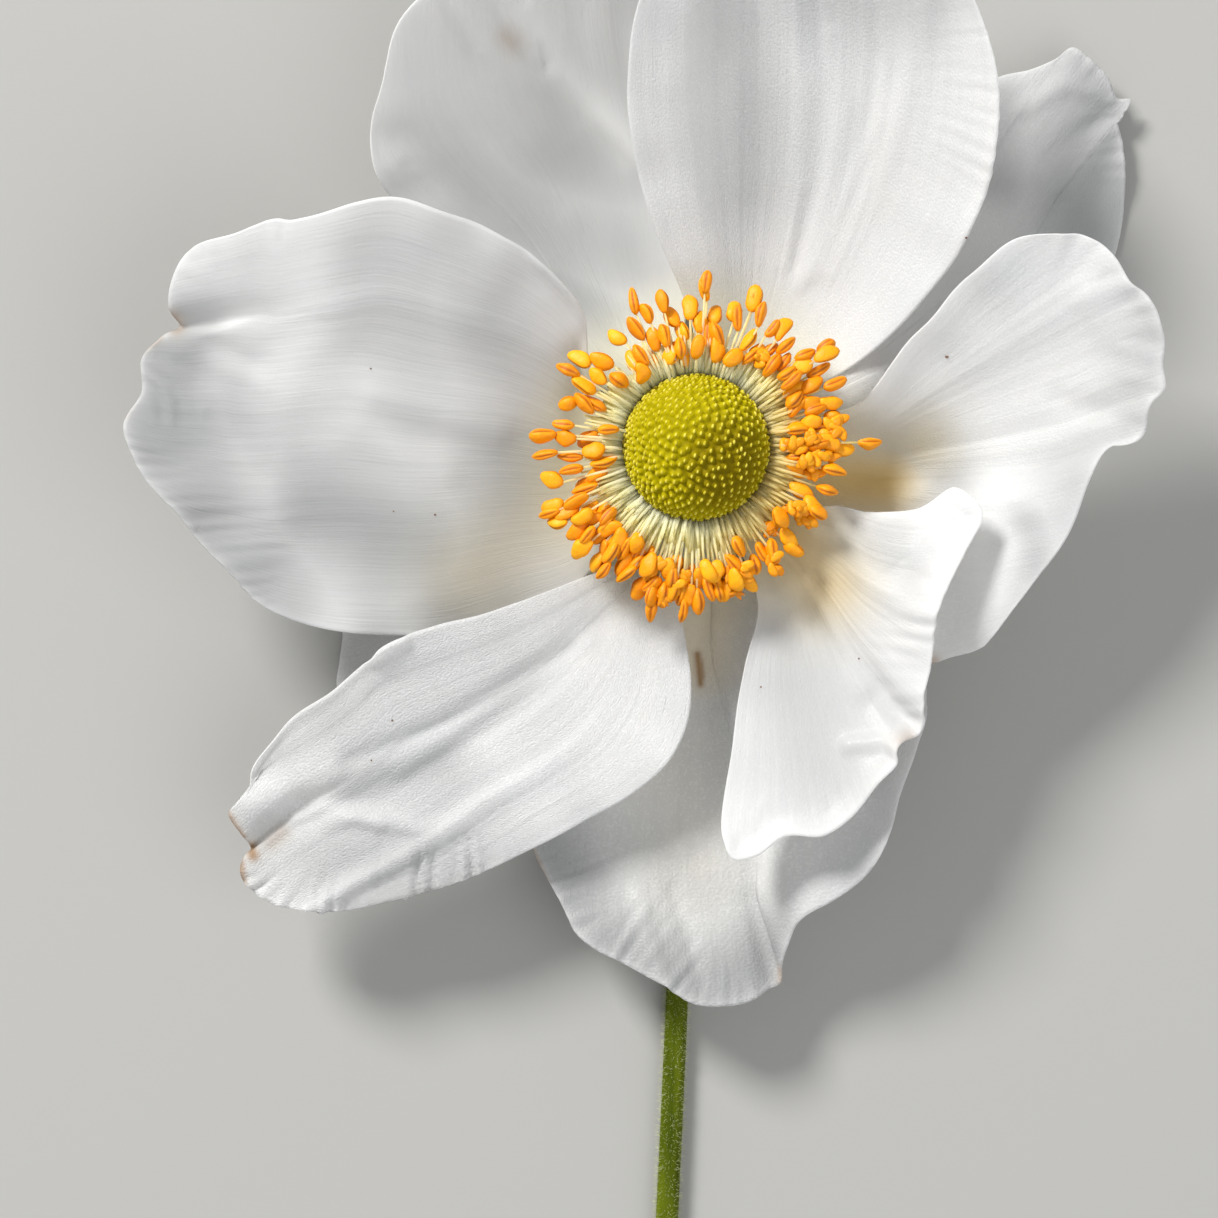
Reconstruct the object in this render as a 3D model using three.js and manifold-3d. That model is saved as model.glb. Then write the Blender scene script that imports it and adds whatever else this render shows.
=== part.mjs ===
// A cut Japanese anemone flower. It lies on its back, face up, with its stem along the surface.
// Millimetres, +Z up. The flower's own axis is vertical, and while the pieces are made it stands at
// X = Y = 0. The whole is moved at the end, so that the origin is under the middle of the bounding box.
import * as THREE from "three";
import { ConvexHull } from "three/addons/math/ConvexHull.js";
import { mergeVertices } from "three/addons/utils/BufferGeometryUtils.js";
import Module from "manifold-3d";

const wasm = await Module();
wasm.setup();

// Stem and receptacle
const STEM_RADIUS = 0.75;
const STEM_BEND_RADIUS = 3;
const STEM_SIDES = 12;
const STEM_END = new THREE.Vector3(-2.4, -62, STEM_RADIUS);
const STEM_MIDDLE = new THREE.Vector3(-1.1, -34, STEM_RADIUS);
const RECEPTACLE_RADIUS = 3.7;
const RECEPTACLE_TOP = 6.7;
const RECEPTACLE_SIDES = 32;

// Tepals: each spreads from a narrow claw that sits round the side of the receptacle
const SEAT_GAP = 0.3;
const TEPAL_THICKNESS = 0.6;
const TEPAL_STEPS = 10;
const TEPAL_COLUMN = 2.2;
const STEEPEST_LEAN = 0.6;
const CLAW_RADIUS = RECEPTACLE_RADIUS + SEAT_GAP + 0.1;
const CLAW_HALF_ANGLE = 19;
const BACK_LAYER = 4.3;
const MIDDLE_LAYER = 5.3;
const FRONT_LAYER = 6.3;

// Carpel head: a low dome on a narrower neck
const HEAD_RADIUS = 4.5;
const HEAD_HALF_HEIGHT = 4.1;
const HEAD_BASE = RECEPTACLE_TOP + SEAT_GAP;
const HEAD_CENTRE = 9.6;
const CARPELS = 380;
const CARPEL_RELIEF = 0.17;

// Stamens
const COLLAR_INNER_RADIUS = 3.1;
const COLLAR_OUTER_RADIUS = 4.1;
const COLLAR_BASE = RECEPTACLE_TOP + SEAT_GAP;
const COLLAR_HEIGHT = 0.6;
const STAMENS_IN_ROW = 25;
const STAMEN_ROWS = [
  { radius: 5.7, height: 10.6 },
  { radius: 7.3, height: 10.1 },
  { radius: 8.8, height: 9.5 },
];
const FILAMENT_RADIUS = 0.16;
const ANTHER_LENGTH = 1.7;
const ANTHER_RADIUS = 0.65;
const STAMEN_SIDES = 4;

// Each tepal's claw has a direction in degrees from +X and a layer. Its outline runs clockwise, seen
// from above, from one side of the claw round the tip to the other side. tip gives the numbers of the
// outline points where the two sides end and the outer margin begins. sag is how far the middle of
// the tepal hangs below what its edges alone would give. A fold is a ridge or a furrow along the vein
// that ends at the outline point with that number.
const TEPALS = {
  tepal_left: {
    claw: 183,
    layer: MIDDLE_LAYER,
    sag: 2.4,
    tip: [6, 16],
    outline: [
      [-6.9, -8.0, 5.4], [-10.8, -9.8, 5.2], [-15.4, -11.5, 6.2], [-19.6, -11.7, 7.3],
      [-23.7, -11.2, 8.4], [-27.0, -9.9, 9.4], [-28.9, -8.0, 10.2], [-31.8, -4.7, 11.2],
      [-34.1, -2.0, 11.8], [-35.5, 1.2, 12.3], [-34.3, 3.3, 12.5], [-34.3, 5.4, 12.7],
      [-33.1, 6.7, 12.8], [-32.0, 7.4, 12.3], [-32.6, 8.5, 13.0], [-32.4, 10.2, 13.4],
      [-31.3, 12.1, 13.9], [-28.7, 13.0, 14.4], [-25.9, 13.9, 14.8], [-25.1, 13.8, 14.8],
      [-21.1, 14.9, 15.2], [-18.3, 15.2, 15.0], [-14.3, 13.9, 13.8], [-10.2, 12.0, 11.8],
      [-7.5, 9.4, 9.6], [-6.9, 7.4, 7.9], [-6.5, 4.8, 6.6], [-5.8, 3.3, 6.1],
    ],
    folds: [
      { at: 13, height: -0.5, width: 0.03, from: 0.75, to: 1 },
      { at: 8, height: 0.4, width: 0.05, from: 0.3, to: 0.9 },
      { at: 15, height: 0.4, width: 0.06, from: 0.4, to: 0.9 },
    ],
  },
  tepal_upper_left: {
    claw: 117,
    layer: BACK_LAYER,
    sag: 4.6,
    tip: [6, 13],
    outline: [
      [-5.9, 4.0, 4.2], [-9.2, 7.2, 3.4], [-13.6, 11.9, 2.8], [-18.0, 14.8, 3.6],
      [-20.2, 17.4, 5.2], [-20.2, 20.3, 6.6], [-19.5, 23.8, 8.2], [-18.1, 26.9, 9.6],
      [-16.2, 29.1, 10.6], [-13.4, 30.9, 11.6], [-10.0, 31.9, 12.4], [-6.6, 32.0, 12.8],
      [-3.5, 31.0, 12.4], [-1.2, 28.6, 11.2], [0.0, 24.8, 8.8], [0.4, 20.0, 6.4],
      [0.2, 15.1, 5.0], [-0.3, 10.7, 4.5], [-0.7, 7.5, 4.4],
    ],
    folds: [
      { at: 9, height: 0.6, width: 0.035, from: 0.45, to: 0.9 },
      { at: 11, height: 0.7, width: 0.035, from: 0.4, to: 0.9 },
    ],
  },
  tepal_top: {
    claw: 66,
    layer: MIDDLE_LAYER,
    sag: 3.0,
    tip: [8, 14],
    outline: [
      [-0.3, 8.0, 5.9], [-1.0, 10.0, 6.4], [-1.8, 11.8, 7.2], [-2.8, 14.2, 8.4],
      [-3.6, 17.0, 9.8], [-4.2, 20.2, 11.6], [-4.3, 22.6, 12.8], [-4.0, 25.5, 14.4],
      [-3.2, 28.2, 15.6], [-1.1, 30.8, 16.2], [2.3, 32.4, 16.0], [6.3, 33.1, 15.6],
      [10.3, 32.8, 15.4], [14.0, 31.3, 15.2], [16.2, 28.8, 15.2], [17.3, 26.4, 15.0],
      [18.3, 23.4, 14.6], [18.6, 20.7, 13.8], [18.4, 18.0, 12.8], [17.8, 15.6, 11.6],
      [16.8, 12.9, 10.0], [15.2, 10.5, 8.4], [12.8, 7.7, 7.0], [9.7, 5.1, 6.0],
      [6.6, 3.7, 5.7],
    ],
    folds: [
      { at: 10, height: 0.6, width: 0.03, from: 0.2, to: 0.7 },
      { at: 12, height: -0.6, width: 0.03, from: 0.2, to: 0.7 },
      { at: 14, height: 0.6, width: 0.03, from: 0.2, to: 0.7 },
    ],
  },
  tepal_upper_right: {
    claw: 30,
    layer: BACK_LAYER,
    sag: 0.6,
    tip: [4, 18],
    outline: [
      [6.6, 4.5, 4.2], [9.8, 9.5, 3.6], [13.0, 15.2, 3.2], [15.5, 20.2, 3.0],
      [17.7, 22.9, 3.0], [19.5, 23.7, 3.0], [21.3, 24.1, 2.9], [22.9, 24.8, 2.8],
      [23.9, 25.5, 2.8], [25.2, 24.7, 2.4], [26.2, 23.7, 2.0], [26.8, 22.4, 1.8],
      [27.7, 22.3, 1.9], [27.4, 21.6, 1.8], [26.9, 20.9, 1.6], [27.2, 19.6, 1.4],
      [27.4, 17.0, 0.9], [27.2, 14.4, 0.3], [26.5, 11.7, 0.3], [23.9, 8.3, 0.6],
      [19.4, 5.1, 1.4], [14.3, 2.5, 2.8], [8.5, 1.4, 4.2],
    ],
    folds: [
      { at: 12, height: -0.3, width: 0.06, from: 0.4, to: 1 },
    ],
  },
  tepal_right: {
    claw: -3,
    layer: MIDDLE_LAYER,
    sag: 3,
    tip: [6, 21],
    outline: [
      [6.6, 2.1, 6.0], [10.1, 2.7, 6.8], [12.2, 5.3, 8.4], [14.3, 7.7, 9.8],
      [16.9, 10.6, 11.4], [19.3, 12.6, 12.4], [21.2, 13.1, 12.8], [24.0, 12.9, 13.0],
      [25.7, 11.8, 13.0], [26.7, 10.2, 13.0], [28.1, 8.9, 13.0], [28.8, 6.9, 12.8],
      [28.7, 4.9, 12.6], [29.0, 3.6, 12.4], [28.0, 2.3, 12.2], [27.4, 0.6, 11.9],
      [25.6, -0.1, 11.6], [24.4, -2.1, 11.2], [23.5, -4.7, 10.4], [22.2, -7.1, 9.4],
      [20.1, -10.0, 8.4], [18.1, -12.4, 7.8], [16.2, -13.1, 7.4], [14.4, -13.4, 7.0],
      [11.6, -11.4, 6.8], [8.4, -7.6, 6.2], [5.9, -4.5, 5.8],
    ],
    folds: [
      { at: 16, height: -0.5, width: 0.03, from: 0.5, to: 1 },
    ],
  },
  tepal_lower_right: {
    claw: -47,
    layer: FRONT_LAYER,
    sag: 0.7,
    tip: [4, 20],
    outline: [
      [6.4, -3.7, 7.2], [9.0, -3.6, 7.9], [11.2, -4.1, 8.3], [13.8, -3.8, 8.9],
      [16.2, -2.5, 9.8], [17.8, -4.0, 10.6], [16.8, -6.3, 11.0], [15.8, -8.4, 11.2],
      [15.1, -10.1, 11.2], [14.7, -12.6, 10.9], [14.2, -15.4, 10.4], [14.0, -17.8, 10.0],
      [12.8, -18.6, 9.8], [12.7, -19.7, 9.7], [11.4, -21.1, 9.6], [9.6, -23.2, 9.4],
      [7.9, -24.3, 9.2], [5.6, -24.3, 9.0], [3.8, -25.5, 8.9], [2.3, -25.7, 8.8],
      [1.6, -24.3, 8.7], [2.2, -19.0, 8.2], [3.0, -13.8, 7.6], [3.9, -9.6, 7.0],
    ],
    folds: [
      { at: 11, height: -0.9, width: 0.03, from: 0.6, to: 0.9 },
      { at: 8, height: 0.6, width: 0.04, from: 0.4, to: 0.9 },
    ],
  },
  tepal_bottom: {
    claw: -86,
    layer: BACK_LAYER,
    sag: 1.5,
    tip: [5, 25],
    outline: [
      [3.6, -8.6, 4.7], [6.6, -9.4, 4.8], [10.4, -10.6, 5.0], [13.2, -12.1, 5.2],
      [14.5, -14.0, 5.8], [14.9, -16.4, 6.6], [14.5, -18.9, 7.0], [13.5, -21.7, 7.0],
      [12.5, -25.0, 6.8], [11.4, -26.6, 6.6], [9.1, -28.5, 6.1], [6.8, -29.9, 5.6],
      [6.0, -31.4, 5.1], [5.4, -32.8, 4.7], [5.3, -33.7, 4.8], [4.7, -34.0, 4.8],
      [3.6, -34.7, 5.2], [2.1, -35.0, 5.6], [-0.1, -34.9, 5.8], [-2.0, -33.8, 5.8],
      [-4.4, -32.4, 5.6], [-6.3, -31.5, 5.4], [-7.5, -30.5, 5.2], [-8.3, -28.9, 5.0],
      [-9.2, -27.3, 4.8], [-10.2, -25.2, 4.5], [-10.4, -22.1, 4.2], [-9.0, -17.7, 4.0],
      [-6.3, -13.6, 4.0], [-3.5, -9.5, 4.2], [-1.5, -7.3, 4.4],
    ],
    folds: [
      { at: 14, height: -0.9, width: 0.03, from: 0.35, to: 0.9 },
    ],
  },
  tepal_lower_left: {
    claw: -118,
    layer: FRONT_LAYER,
    sag: 0.3,
    tip: [9, 19],
    outline: [
      [-1.2, -8.9, 6.6], [-0.7, -11.7, 7.0], [-0.3, -14.5, 7.3], [-0.5, -17.1, 7.5],
      [-1.7, -19.6, 7.6], [-4.1, -21.7, 7.6], [-7.3, -23.5, 7.5], [-10.7, -25.3, 7.3],
      [-14.1, -26.9, 7.1], [-18.2, -28.1, 7.0], [-21.4, -28.9, 7.0], [-24.3, -29.0, 7.0],
      [-26.8, -28.4, 7.1], [-28.4, -27.0, 7.3], [-28.5, -25.9, 7.4], [-27.9, -25.1, 7.0],
      [-28.5, -24.1, 7.6], [-29.2, -22.8, 7.8], [-28.2, -21.7, 8.0], [-27.5, -20.0, 8.3],
      [-25.6, -17.2, 8.8], [-22.4, -15.0, 9.4], [-20.6, -13.4, 9.8], [-19.8, -12.4, 9.9],
      [-16.5, -11.2, 9.2], [-13.4, -10.4, 8.6], [-10.2, -9.3, 8.0], [-7.1, -8.1, 7.4],
      [-4.7, -7.0, 7.0],
    ],
    folds: [
      { at: 15, height: -0.8, width: 0.03, from: 0.75, to: 1 },
      { at: 19, height: 0.3, width: 0.03, from: 0.3, to: 0.8 },
      { at: 11, height: 0.4, width: 0.04, from: 0.3, to: 0.8 },
    ],
  },
  tepal_back_left: {
    claw: -150,
    layer: BACK_LAYER,
    sag: 1.5,
    tip: [4, 9],
    outline: [
      [-4.6, -6.6, 3.8], [-7.6, -10.4, 3.0], [-13.0, -13.6, 2.2], [-17.4, -16.4, 1.4],
      [-21.0, -16.6, 0.8], [-22.7, -15.2, 0.4], [-22.6, -13.3, 0.3], [-22.4, -11.5, 0.3],
      [-22.7, -9.2, 0.4], [-22.2, -6.6, 0.8], [-19.3, -4.4, 1.6], [-14.9, -3.2, 2.6],
      [-9.8, -2.2, 3.3], [-6.0, -1.9, 3.9],
    ],
    folds: [],
  },
};

const WHITE_TEPAL = { color: 0xf2f2ef, roughness: 0.55, metalness: 0 };
const GREEN_STEM = { color: 0x6f9a2a, roughness: 0.7, metalness: 0 };
const GREEN_CARPELS = { color: 0x93a312, roughness: 0.6, metalness: 0 };
const ORANGE_ANTHERS = { color: 0xf5a20e, roughness: 0.5, metalness: 0 };

// Seeded random numbers from 0 to 1.
function randomFrom(seed) {
  let state = seed;
  return () => {
    state = (state + 0x6d2b79f5) | 0;
    let mixed = Math.imul(state ^ (state >>> 15), 1 | state);
    mixed = (mixed + Math.imul(mixed ^ (mixed >>> 7), 61 | mixed)) ^ mixed;
    return ((mixed ^ (mixed >>> 14)) >>> 0) / 4294967296;
  };
}

function geometryFrom(points, triangles) {
  const geometry = new THREE.BufferGeometry().setFromPoints(points);
  geometry.setIndex(triangles.flat());
  geometry.computeVertexNormals();
  return geometry;
}

function meshFrom(name, geometry, finish) {
  const mesh = new THREE.Mesh(geometry, new THREE.MeshStandardMaterial(finish));
  mesh.name = name;
  return mesh;
}

function solidFrom(geometry) {
  const bare = new THREE.BufferGeometry();
  bare.setAttribute("position", geometry.getAttribute("position").clone());
  bare.setIndex(geometry.index);
  const merged = mergeVertices(bare, 1e-4);
  return new wasm.Manifold(
    new wasm.Mesh({
      numProp: 3,
      vertProperties: merged.attributes.position.array,
      triVerts: new Uint32Array(merged.index.array),
    }),
  );
}

// One closed geometry from overlapping closed ones.
function joined(geometries) {
  const { vertProperties, triVerts } = wasm.Manifold.union(geometries.map(solidFrom)).getMesh();
  const geometry = new THREE.BufferGeometry();
  geometry.setAttribute("position", new THREE.BufferAttribute(vertProperties, 3));
  geometry.setIndex(new THREE.BufferAttribute(triVerts, 1));
  geometry.computeVertexNormals();
  return geometry;
}

// A closed tube through rings of points, which run anticlockwise seen from its far end.
function tubeThrough(rings) {
  const sides = rings[0].length;
  const points = rings.flat();
  const triangles = [];
  for (let ring = 0; ring < rings.length - 1; ring += 1) {
    for (let side = 0; side < sides; side += 1) {
      const next = (side + 1) % sides;
      const here = ring * sides;
      const beyond = here + sides;
      triangles.push([here + side, here + next, beyond + next]);
      triangles.push([here + side, beyond + next, beyond + side]);
    }
  }
  const last = (rings.length - 1) * sides;
  for (let side = 1; side < sides - 1; side += 1) {
    triangles.push([0, side + 1, side]);
    triangles.push([last, last + side, last + side + 1]);
  }
  return geometryFrom(points, triangles);
}

// Rings round a curve. radii[i] is the ring's radius at shares[i] of the curve's length.
function ringsAlong(curve, shares, radii, sides) {
  return shares.map((share, i) => {
    const centre = curve.getPointAt(share);
    const ahead = curve.getTangentAt(share);
    const across = new THREE.Vector3(-ahead.y, ahead.x, 0).normalize();
    if (across.lengthSq() < 0.5) across.set(1, 0, 0);
    const up = new THREE.Vector3().crossVectors(ahead, across);
    return Array.from({ length: sides }, (_, side) => {
      const angle = ((side + 0.5) / sides) * 2 * Math.PI;
      return centre
        .clone()
        .addScaledVector(across, radii[i] * Math.cos(angle))
        .addScaledVector(up, radii[i] * Math.sin(angle));
    });
  });
}

// Share of a line's length up to each of its points.
function lengthShares(line) {
  const sums = [0];
  for (let i = 1; i < line.length; i += 1) {
    sums.push(sums[i - 1] + line[i].distanceTo(line[i - 1]));
  }
  return sums.map((sum) => sum / sums.at(-1));
}

// Ridges and furrows of a tepal, as a lift at a share of its outer margin and a way out from its claw.
function foldLift(folds, share, way) {
  return folds.reduce((lift, fold) => {
    const across = (share - fold.share) / fold.width;
    const along = THREE.MathUtils.smoothstep(way, fold.from, fold.to);
    return lift + fold.height * Math.exp(-across * across) * along;
  }, 0);
}

// Columns across the outer margin: its own points, and more between those that are far apart.
function marginColumns(margin) {
  const shares = lengthShares(margin);
  const columns = [];
  for (let i = 0; i < margin.length - 1; i += 1) {
    const parts = Math.ceil(margin[i].distanceTo(margin[i + 1]) / TEPAL_COLUMN);
    for (let part = 0; part < parts; part += 1) {
      const point = margin[i].clone().lerp(margin[i + 1], part / parts);
      columns.push({ point, share: THREE.MathUtils.lerp(shares[i], shares[i + 1], part / parts) });
    }
  }
  columns.push({ point: margin.at(-1), share: 1 });
  return columns;
}

// A tepal's middle surface, stretched between its claw, its two sides and its outer margin: for each
// column across the margin, a row of points from claw to margin.
function tepalColumns(tepal) {
  const outline = tepal.outline.map((point) => new THREE.Vector3(...point));
  const [firstEnd, lastStart] = tepal.tip;
  const margin = outline.slice(firstEnd, lastStart + 1);
  const middle = THREE.MathUtils.degToRad(tepal.claw);
  const halfAngle = THREE.MathUtils.degToRad(CLAW_HALF_ANGLE);
  const clawAt = (share) => {
    const angle = middle + halfAngle * (1 - 2 * share);
    const point = new THREE.Vector3(Math.cos(angle), Math.sin(angle), 0);
    return point.multiplyScalar(CLAW_RADIUS).setZ(tepal.layer);
  };
  const firstSide = new THREE.CatmullRomCurve3([clawAt(0), ...outline.slice(0, firstEnd + 1)]);
  const lastSide = new THREE.CatmullRomCurve3([clawAt(1), ...outline.slice(lastStart).reverse()]);
  const marginShares = lengthShares(margin);
  const folds = tepal.folds.map((fold) => ({ ...fold, share: marginShares[fold.at - firstEnd] }));
  return marginColumns(margin).map(({ point: end, share }) =>
    Array.from({ length: TEPAL_STEPS + 1 }, (_, step) => {
      const way = step / TEPAL_STEPS;
      const point = firstSide.getPointAt(way).lerp(lastSide.getPointAt(way), share);
      point.addScaledVector(clawAt(share), 1 - way);
      point.addScaledVector(end, way);
      point.addScaledVector(clawAt(0), -(1 - share) * (1 - way));
      point.addScaledVector(clawAt(1), -share * (1 - way));
      point.addScaledVector(margin[0], -(1 - share) * way);
      point.addScaledVector(margin.at(-1), -share * way);
      point.z -= 4 * tepal.sag * way * (1 - way) * Math.sin(Math.PI * share);
      point.z += foldLift(folds, share, way);
      point.z = Math.max(point.z, TEPAL_THICKNESS / 2);
      return point;
    }),
  );
}

// A closed blade of even thickness round a grid of points, split alike on both faces. Its two faces
// lie straight above and below the grid, so they can't cross where the grid is fine or twisted.
function bladeRound(grid, thickness) {
  const columns = grid.length;
  const steps = grid[0].length;
  const at = (column, step) => column * steps + step;
  const upper = [];
  const lower = [];
  for (let column = 0; column < columns; column += 1) {
    for (let step = 0; step < steps; step += 1) {
      const before = grid[Math.max(column - 1, 0)][step];
      const after = grid[Math.min(column + 1, columns - 1)][step];
      const inner = grid[column][Math.max(step - 1, 0)];
      const outer = grid[column][Math.min(step + 1, steps - 1)];
      const around = after.clone().sub(before);
      const normal = around.cross(outer.clone().sub(inner)).normalize();
      const half = thickness / 2 / Math.max(Math.abs(normal.z), STEEPEST_LEAN);
      const point = grid[column][step];
      upper.push(point.clone().setZ(Math.max(point.z - half, 0) + 2 * half));
      lower.push(point.clone().setZ(Math.max(point.z - half, 0)));
    }
  }
  const below = columns * steps;
  const triangles = [];
  for (let column = 0; column < columns - 1; column += 1) {
    for (let step = 0; step < steps - 1; step += 1) {
      const a = at(column, step);
      const b = at(column + 1, step);
      const c = at(column + 1, step + 1);
      const d = at(column, step + 1);
      triangles.push([a, b, c], [a, c, d]);
      triangles.push([below + a, below + c, below + b], [below + a, below + d, below + c]);
    }
  }
  const rim = [];
  for (let column = 0; column < columns - 1; column += 1) rim.push(at(column, 0));
  for (let step = 0; step < steps - 1; step += 1) rim.push(at(columns - 1, step));
  for (let column = columns - 1; column > 0; column -= 1) rim.push(at(column, steps - 1));
  for (let step = steps - 1; step > 0; step -= 1) rim.push(at(0, step));
  rim.forEach((a, i) => {
    const b = rim[(i + 1) % rim.length];
    triangles.push([b, a, below + a], [b, below + a, below + b]);
  });
  return geometryFrom([...upper, ...lower], triangles);
}

function stemTube() {
  const bendStart = new THREE.Vector3(0, -STEM_BEND_RADIUS, STEM_RADIUS);
  const lying = new THREE.CatmullRomCurve3([STEM_END, STEM_MIDDLE, bendStart]);
  const lyingSteps = 12;
  const bendSteps = 7;
  const path = lying.getPoints(lyingSteps);
  path.forEach((point) => point.setZ(STEM_RADIUS));
  for (let step = 1; step <= bendSteps; step += 1) {
    const turn = ((step / bendSteps) * Math.PI) / 2;
    const along = -STEM_BEND_RADIUS * (1 - Math.sin(turn));
    path.push(new THREE.Vector3(0, along, STEM_RADIUS + STEM_BEND_RADIUS * (1 - Math.cos(turn))));
  }
  const corner = Math.PI / STEM_SIDES;
  const rings = path.map((centre, i) => {
    const before = path[Math.max(i - 1, 0)];
    const after = path[Math.min(i + 1, path.length - 1)];
    const ahead = after.clone().sub(before).normalize();
    if (i === path.length - 1) ahead.set(0, 0, 1);
    if (i <= lyingSteps) ahead.setZ(0).normalize();
    const sideways = new THREE.Vector3(ahead.y, -ahead.x, 0);
    if (sideways.lengthSq() < 0.01) sideways.set(1, 0, 0);
    sideways.normalize();
    const up = new THREE.Vector3().crossVectors(sideways, ahead);
    return Array.from({ length: STEM_SIDES }, (_, side) => {
      const angle = ((side + 0.5) / STEM_SIDES) * 2 * Math.PI;
      return centre
        .clone()
        .addScaledVector(sideways, (STEM_RADIUS / Math.cos(corner)) * Math.cos(angle))
        .addScaledVector(up, -(STEM_RADIUS / Math.cos(corner)) * Math.sin(angle));
    });
  });
  return tubeThrough(rings);
}

function receptacle() {
  const neckBase = STEM_RADIUS + STEM_BEND_RADIUS - 0.6;
  const profile = [
    new THREE.Vector2(0, neckBase),
    new THREE.Vector2(STEM_RADIUS + 0.05, neckBase),
    new THREE.Vector2(1.5, neckBase + 0.5),
    new THREE.Vector2(3.1, neckBase + 0.9),
    new THREE.Vector2(RECEPTACLE_RADIUS, neckBase + 1.5),
    new THREE.Vector2(RECEPTACLE_RADIUS, RECEPTACLE_TOP),
    new THREE.Vector2(0, RECEPTACLE_TOP),
  ];
  return new THREE.LatheGeometry(profile, RECEPTACLE_SIDES).rotateX(Math.PI / 2);
}

function stem() {
  return joined([stemTube(), receptacle()]);
}

// The head's surface in a direction from its centre: a dome above, a narrower flat-ended neck below.
function headPoint(direction, lift) {
  const polar = Math.acos(THREE.MathUtils.clamp(direction.z, -1, 1));
  const narrowing = 0.42 * THREE.MathUtils.smoothstep(polar, 1.6, 2.1);
  const relief = lift * (1 - THREE.MathUtils.smoothstep(polar, 1.9, 2.2));
  const width = (HEAD_RADIUS + relief) * (1 - narrowing);
  const height = HEAD_CENTRE + (HEAD_HALF_HEIGHT + relief) * direction.z;
  return new THREE.Vector3(width * direction.x, width * direction.y, Math.max(height, HEAD_BASE));
}

// Carpels in crossing spirals: each is a low point with a valley round it.
function carpelHead() {
  const goldenAngle = Math.PI * (3 - Math.sqrt(5));
  const directions = Array.from({ length: CARPELS }, (_, i) => {
    const z = 1 - (2 * (i + 0.5)) / CARPELS;
    const around = i * goldenAngle;
    const across = Math.sqrt(1 - z * z);
    return new THREE.Vector3(across * Math.cos(around), across * Math.sin(around), z);
  });
  const numberOf = new Map(directions.map((direction, i) => [direction, i]));
  const points = directions.map((direction) => headPoint(direction, CARPEL_RELIEF));
  const hull = new ConvexHull().setFromPoints(directions);
  const valleyOf = new Map();
  for (const face of hull.faces) {
    const middle = face.midpoint.clone().normalize();
    valleyOf.set(face, points.length);
    points.push(headPoint(middle, -CARPEL_RELIEF));
  }
  const triangles = [];
  for (const face of hull.faces) {
    for (let i = 0; i < 3; i += 1) {
      const edge = face.getEdge(i);
      const tip = numberOf.get(edge.tail().point);
      triangles.push([tip, valleyOf.get(edge.twin.face), valleyOf.get(face)]);
    }
  }
  return geometryFrom(points, triangles);
}

function stamenCollar() {
  const top = COLLAR_BASE + COLLAR_HEIGHT;
  const profile = [
    new THREE.Vector2(COLLAR_INNER_RADIUS, COLLAR_BASE),
    new THREE.Vector2(COLLAR_OUTER_RADIUS, COLLAR_BASE),
    new THREE.Vector2(COLLAR_OUTER_RADIUS, top),
    new THREE.Vector2(COLLAR_INNER_RADIUS, top),
    new THREE.Vector2(COLLAR_INNER_RADIUS, COLLAR_BASE),
  ];
  return new THREE.LatheGeometry(profile, RECEPTACLE_SIDES).rotateX(Math.PI / 2);
}

// A stamen: a slender filament that bends out from under the head and swells into its anther.
function stamen(angle, radius, height) {
  const place = (distance, z) =>
    new THREE.Vector3(distance * Math.cos(angle), distance * Math.sin(angle), z);
  const root = place(3.8, COLLAR_BASE + COLLAR_HEIGHT / 2);
  const filament = new THREE.QuadraticBezierCurve3(
    root,
    place(3.2 + radius * 0.3, 7.9),
    place(radius, height),
  );
  const ahead = filament.getTangentAt(1);
  const length = filament.getLength() + ANTHER_LENGTH;
  const neck = filament.getLength() / length;
  const tip = place(radius, height).addScaledVector(ahead, ANTHER_LENGTH);
  const path = new THREE.CurvePath();
  path.add(filament);
  path.add(new THREE.LineCurve3(place(radius, height), tip));
  const anther = (share) => neck + (1 - neck) * share;
  const shares = [0, neck / 2, anther(0), anther(0.25), anther(0.7), 1];
  const radii = [
    FILAMENT_RADIUS,
    FILAMENT_RADIUS,
    FILAMENT_RADIUS,
    ANTHER_RADIUS,
    ANTHER_RADIUS,
    ANTHER_RADIUS * 0.3,
  ];
  return tubeThrough(ringsAlong(path, shares, radii, STAMEN_SIDES));
}

function stamens() {
  const random = randomFrom(7);
  const pieces = [stamenCollar()];
  const spacing = (2 * Math.PI) / STAMENS_IN_ROW;
  STAMEN_ROWS.forEach((row, number) => {
    for (let i = 0; i < STAMENS_IN_ROW; i += 1) {
      const angle = (i + number / STAMEN_ROWS.length + 0.2 * (random() - 0.5)) * spacing;
      const radius = row.radius + 0.7 * (random() - 0.5);
      pieces.push(stamen(angle, radius, row.height + 0.5 * (random() - 0.5)));
    }
  });
  return joined(pieces);
}

function flower() {
  const whole = new THREE.Group();
  for (const [name, tepal] of Object.entries(TEPALS)) {
    const blade = bladeRound(tepalColumns(tepal), TEPAL_THICKNESS);
    whole.add(meshFrom(name, blade, WHITE_TEPAL));
  }
  whole.add(meshFrom("stem", stem(), GREEN_STEM));
  whole.add(meshFrom("carpel_head", carpelHead(), GREEN_CARPELS));
  whole.add(meshFrom("stamens", stamens(), ORANGE_ANTHERS));
  const box = new THREE.Box3().setFromObject(whole);
  const middle = box.getCenter(new THREE.Vector3());
  whole.position.set(-middle.x, -middle.y, -box.min.z);
  return whole;
}

export default flower();
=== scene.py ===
# A cut Japanese anemone flower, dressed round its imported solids. Sizes in the tables are millimetres
# from the flower's own upright axis, with the surface that it lies on at z = 0.
import math

import bmesh
import bpy
import numpy as np
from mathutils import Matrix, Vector, kdtree


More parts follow.
